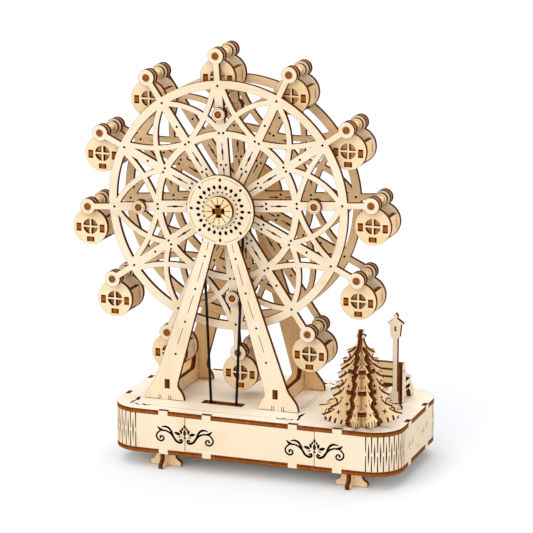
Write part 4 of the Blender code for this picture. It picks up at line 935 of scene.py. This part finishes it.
def on_side(points, steps):
    """A smooth line through points that are given as shares of the side's depth and height."""
    return curve_through([(x * BENCH_D * mm, z * BENCH_H * mm) for x, z in points], steps)


low_edge = LIFT / BENCH_H
side_loop = on_side([(0, low_edge), (0.16, low_edge)], 1)
side_loop += on_side([(0.17, 1.5 / BENCH_H), (0.22, 0.17), (0.36, 0.245), (0.56, 0.245), (0.7, 0.17),
                      (0.78, low_edge)], 4)
side_loop += on_side([(1, low_edge), (0.995, 0.12), (0.95, 0.24), (0.84, 0.33), (0.76, 0.38), (0.79, 0.47),
                      (0.75, 0.54), (0.64, 0.57), (0.46, 0.63), (0.36, 0.72), (0.25, 0.83), (0.24, 0.93),
                      (0.17, 0.99), (0.06, 1), (0.0, 0.95)], 4)
holes = [on_side([(0.3, 0.49), (0.46, 0.485), (0.62, 0.49), (0.6, 0.53), (0.46, 0.55), (0.34, 0.62)], 3),
         on_side([(0.3, 0.3), (0.46, 0.29), (0.62, 0.27), (0.7, 0.31), (0.62, 0.36), (0.3, 0.37)], 3),
         little_star(BENCH_D * 0.13, BENCH_H * 0.78, 1.2)]
for name in ("left", "right"):
    node = f"bench_side_{name}"
    sheet_piece(f"bench_end_{name}", "base", node, [side_loop], holes, "z", "x",
                at=stand_at(middle_of(node).x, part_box(node)[0].y, DECK, "side"))


def cut_corners(hx, hz, corner):
    return both_sides([(hx - corner, -hz), (hx, -hz + corner), (hx, hz - corner), (hx - corner, hz)])


for part in ("back_slat_top", "back_slat_middle", "back_slat_bottom", "seat_slat_inner", "seat_slat_outer"):
    node = f"bench_{part}"
    low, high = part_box(node)
    hx, hy, hz = (high - low) / 2
    upright = part.startswith("back")
    outline, through, rim, facing = ((cut_corners(hx, hz, 0.6 * mm), "y", 0.3 * mm, "front") if upright
                                     else (cut_corners(hx, hy, 0.6 * mm), "z", SCORCH_W, "flat"))
    # The slats' fronts are in the honey veneer: painted shade for the shaded back of the bench
    sheet_piece(f"bench_{part}_board", "base", node, [outline], (), "x", through, front=HONEY, rim=rim,
                at=stand_at(*middle_of(node), facing))


# Crank, belt and movement

m, (low, high) = middle_of("crank_bearing"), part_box("crank_bearing")
sheet_piece("shaft_bearing_board", "base", "crank_bearing",
            [cut_corners((high.x - low.x) / 2, (high.z - low.z) / 2, 1 * mm)],
            [circle(0, SHAFT_Z - m.z, 2.3 * mm, 24)], back=TONED_AND_SHADED, at=stand_at(*m, "front"))

REACH, ARM_R = 18 * mm, 4 * mm
waist = both_sides([(3.2 * mm, -REACH), (2.7 * mm, -REACH / 2), (3.2 * mm, 0)])
rays = [bar(2.9 * mm, 3.5 * mm, 0.3 * mm, k * STEP) for k in range(SPOKES)]
sheet_piece("crank_arm_sheet", "crank", "crank_arm", [disc(ARM_R, 40), circle(0, -REACH, ARM_R, 40), waist],
            [disc(2.1 * mm, 24), circle(0, -REACH, 1.5 * mm, 20)], "z",
            at=stand_at(AX, middle_of("crank_arm").y, SHAFT_Z, "rear"), marks=[(rays, SEPIA)])

bm = new_piece()
low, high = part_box("crank_knob")
y0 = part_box("crank_arm")[1].y + 0.3 * mm
reach, pin = high.y - y0, 1.3 * mm
profile = [(0, low.y), (pin - 0.05 * mm, low.y), (pin, low.y + 0.1 * mm), (pin, y0), (2.7 * mm, y0),
           (3.0 * mm, y0 + 0.3 * mm)]
profile += [((3.0 + 1.2 * sin(pi * t / 2) ** 1.2) * mm, y0 + reach * (0.05 + 0.62 * t))
            for t in (0.2, 0.4, 0.6, 0.8, 1.0)]
profile += [(r * mm, y0 + reach * t) for r, t in ((4.1, 0.8), (3.7, 0.92), (2.9, 0.985), (1.6, 1), (0, 1))]
add_lathe(bm, [(r, -y) for r, y in profile], stand_at(AX, 0, SHAFT_Z - REACH, "front"), 40, ROUND)
piece("turned_crank_knob", bm, "crank", ["crank_knob"])

bm = new_piece()
low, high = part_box("crank_shaft")
add_lathe(bm, rod(2 * mm, -high.y, -low.y, 0.3 * mm, 0.3 * mm), stand_at(AX, 0, SHAFT_Z, "front"), 32, 0)
put("crank_shaft_rod", mesh_of("crank_shaft_rod", bm, [STEEL]), "crank", ["crank_shaft"])


def belt_route():
    """The cord's middle line round both pulleys, with the way out of the loop at each point."""
    tilt = asin((GROOVE_SMALL - GROOVE_BIG) / (AZ - SHAFT_Z))

    def wrap(r, z, t0, t1, steps):
        angles = [t0 + (t1 - t0) * i / steps for i in range(steps + 1)]
        return [(polar(r, t, AX, z), t) for t in angles]

    def run(start, end, way_out, steps=24):
        (ax, az), (bx, bz) = start, end
        return [((ax + (bx - ax) * i / steps, az + (bz - az) * i / steps), way_out) for i in range(1, steps)]

    over = wrap(GROOVE_BIG, AZ, tilt, pi - tilt, 32)
    under = wrap(GROOVE_SMALL, SHAFT_Z, pi - tilt, 2 * pi + tilt, 24)
    return over + run(over[-1][0], under[0][0], pi - tilt) + under + run(under[-1][0], over[0][0], tilt)


bm = new_piece()
rings = []
turns = [2 * pi * j / 12 for j in range(12)]
for (x, z), out in belt_route():
    loop = [bm.verts.new((x + CORD_R * cos(t) * cos(out), BELT_Y + CORD_R * sin(t), z + CORD_R * cos(t) * sin(out)))
            for t in turns]
    rings.append([bm.edges.new((a, b)) for a, b in zip(loop, loop[1:] + loop[:1])])
for a, b in zip(rings, rings[1:] + rings[:1]):
    bmesh.ops.bridge_loops(bm, edges=a + b)
bmesh.ops.recalc_face_normals(bm, faces=bm.faces)
put("elastic_cord_loop", mesh_of("elastic_cord_loop", bm, [CORD], 60), "base", ["drive_belt"])

# The movement's solids are hidden inside and stay as they are
for metal, nodes in ((BRASS, ("crank_pinion", "cylinder_gear", "movement_cylinder")),
                     (STEEL, ("movement_comb", "movement_bedplate"))):
    for node in nodes:
        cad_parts[node].data.materials.clear()
        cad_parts[node].data.materials.append(metal)


# Studio: pale paper under a white world, with three wide soft lights: a key from the front left, a weak fill from the
# front right, and the brightest one overhead

def add_light(name, spot, power, degrees):
    """A sun that shines from spot towards the origin. The degrees it spans make its shadows soft."""
    data = bpy.data.lights.new(name, "SUN")
    data.energy, data.angle = power, radians(degrees)
    obj = bpy.data.objects.new(name, data)
    obj.location = spot
    obj.rotation_euler = (-Vector(spot)).to_track_quat("-Z", "Y").to_euler()
    SCENE.collection.objects.link(obj)


add_light("key_window", (-0.6, -1.6, 1.3), 1.25, 50)
add_light("fill_window", (1.6, -1.2, 0.9), 0.4, 60)
add_light("top_light", (-0.2, 0.4, 2.0), 1.8, 70)

# The world is white to the camera and in reflections, and dimmer as a light
world = bpy.data.worlds.new("white_studio")
SCENE.world = world
world.use_nodes = True
tree = world.node_tree
tree.nodes.clear()
path = add_node(tree, "LightPath").outputs
either = {"operation": "MAXIMUM"}
glossy = add_node(tree, "Math", either, {0: path["Is Camera Ray"], 1: path["Is Glossy Ray"]})
clear = add_node(tree, "Math", either, {0: glossy.outputs["Value"], 1: path["Is Transmission Ray"]})
soft = add_node(tree, "Background", values={"Color": (1, 1, 1, 1), "Strength": 0.49})
white = add_node(tree, "Background", values={"Color": (1, 1, 1, 1), "Strength": 1.0})
both = add_node(tree, "MixShader", links={0: clear.outputs["Value"], 1: soft.outputs["Background"],
                                                    2: white.outputs["Background"]})
add_node(tree, "OutputWorld", links={"Surface": both.outputs["Shader"]})

bm = bmesh.new()
bmesh.ops.create_grid(bm, x_segments=1, y_segments=1, size=8.0)
paper = new_material("white_floor_paper", 0.95, colour="#E8EAEE")[0]
floor = bpy.data.objects.new("studio_floor", mesh_of("studio_floor", bm, [paper]))
floor.location = (0, 0, -0.0001)
SCENE.collection.objects.link(floor)

# Camera: a long lens from the right of the front and a little above, fitted to the photo
turn, tilt, distance = radians(19.676), radians(14.029), 1.8097
forward = Vector((-sin(turn) * cos(tilt), cos(turn) * cos(tilt), -sin(tilt)))
data = bpy.data.cameras.new("camera")
data.sensor_width, data.lens, data.clip_start, data.clip_end = 36.0, 189.35, 0.05, 30.0
camera = bpy.data.objects.new("camera", data)
camera.location = Vector((13.91 * mm, -3.0 * mm, 127.17 * mm)) - forward * distance
camera.rotation_euler = forward.to_track_quat("-Z", "Y").to_euler()
SCENE.collection.objects.link(camera)
SCENE.camera = camera
SCENE.view_settings.view_transform = "Standard"
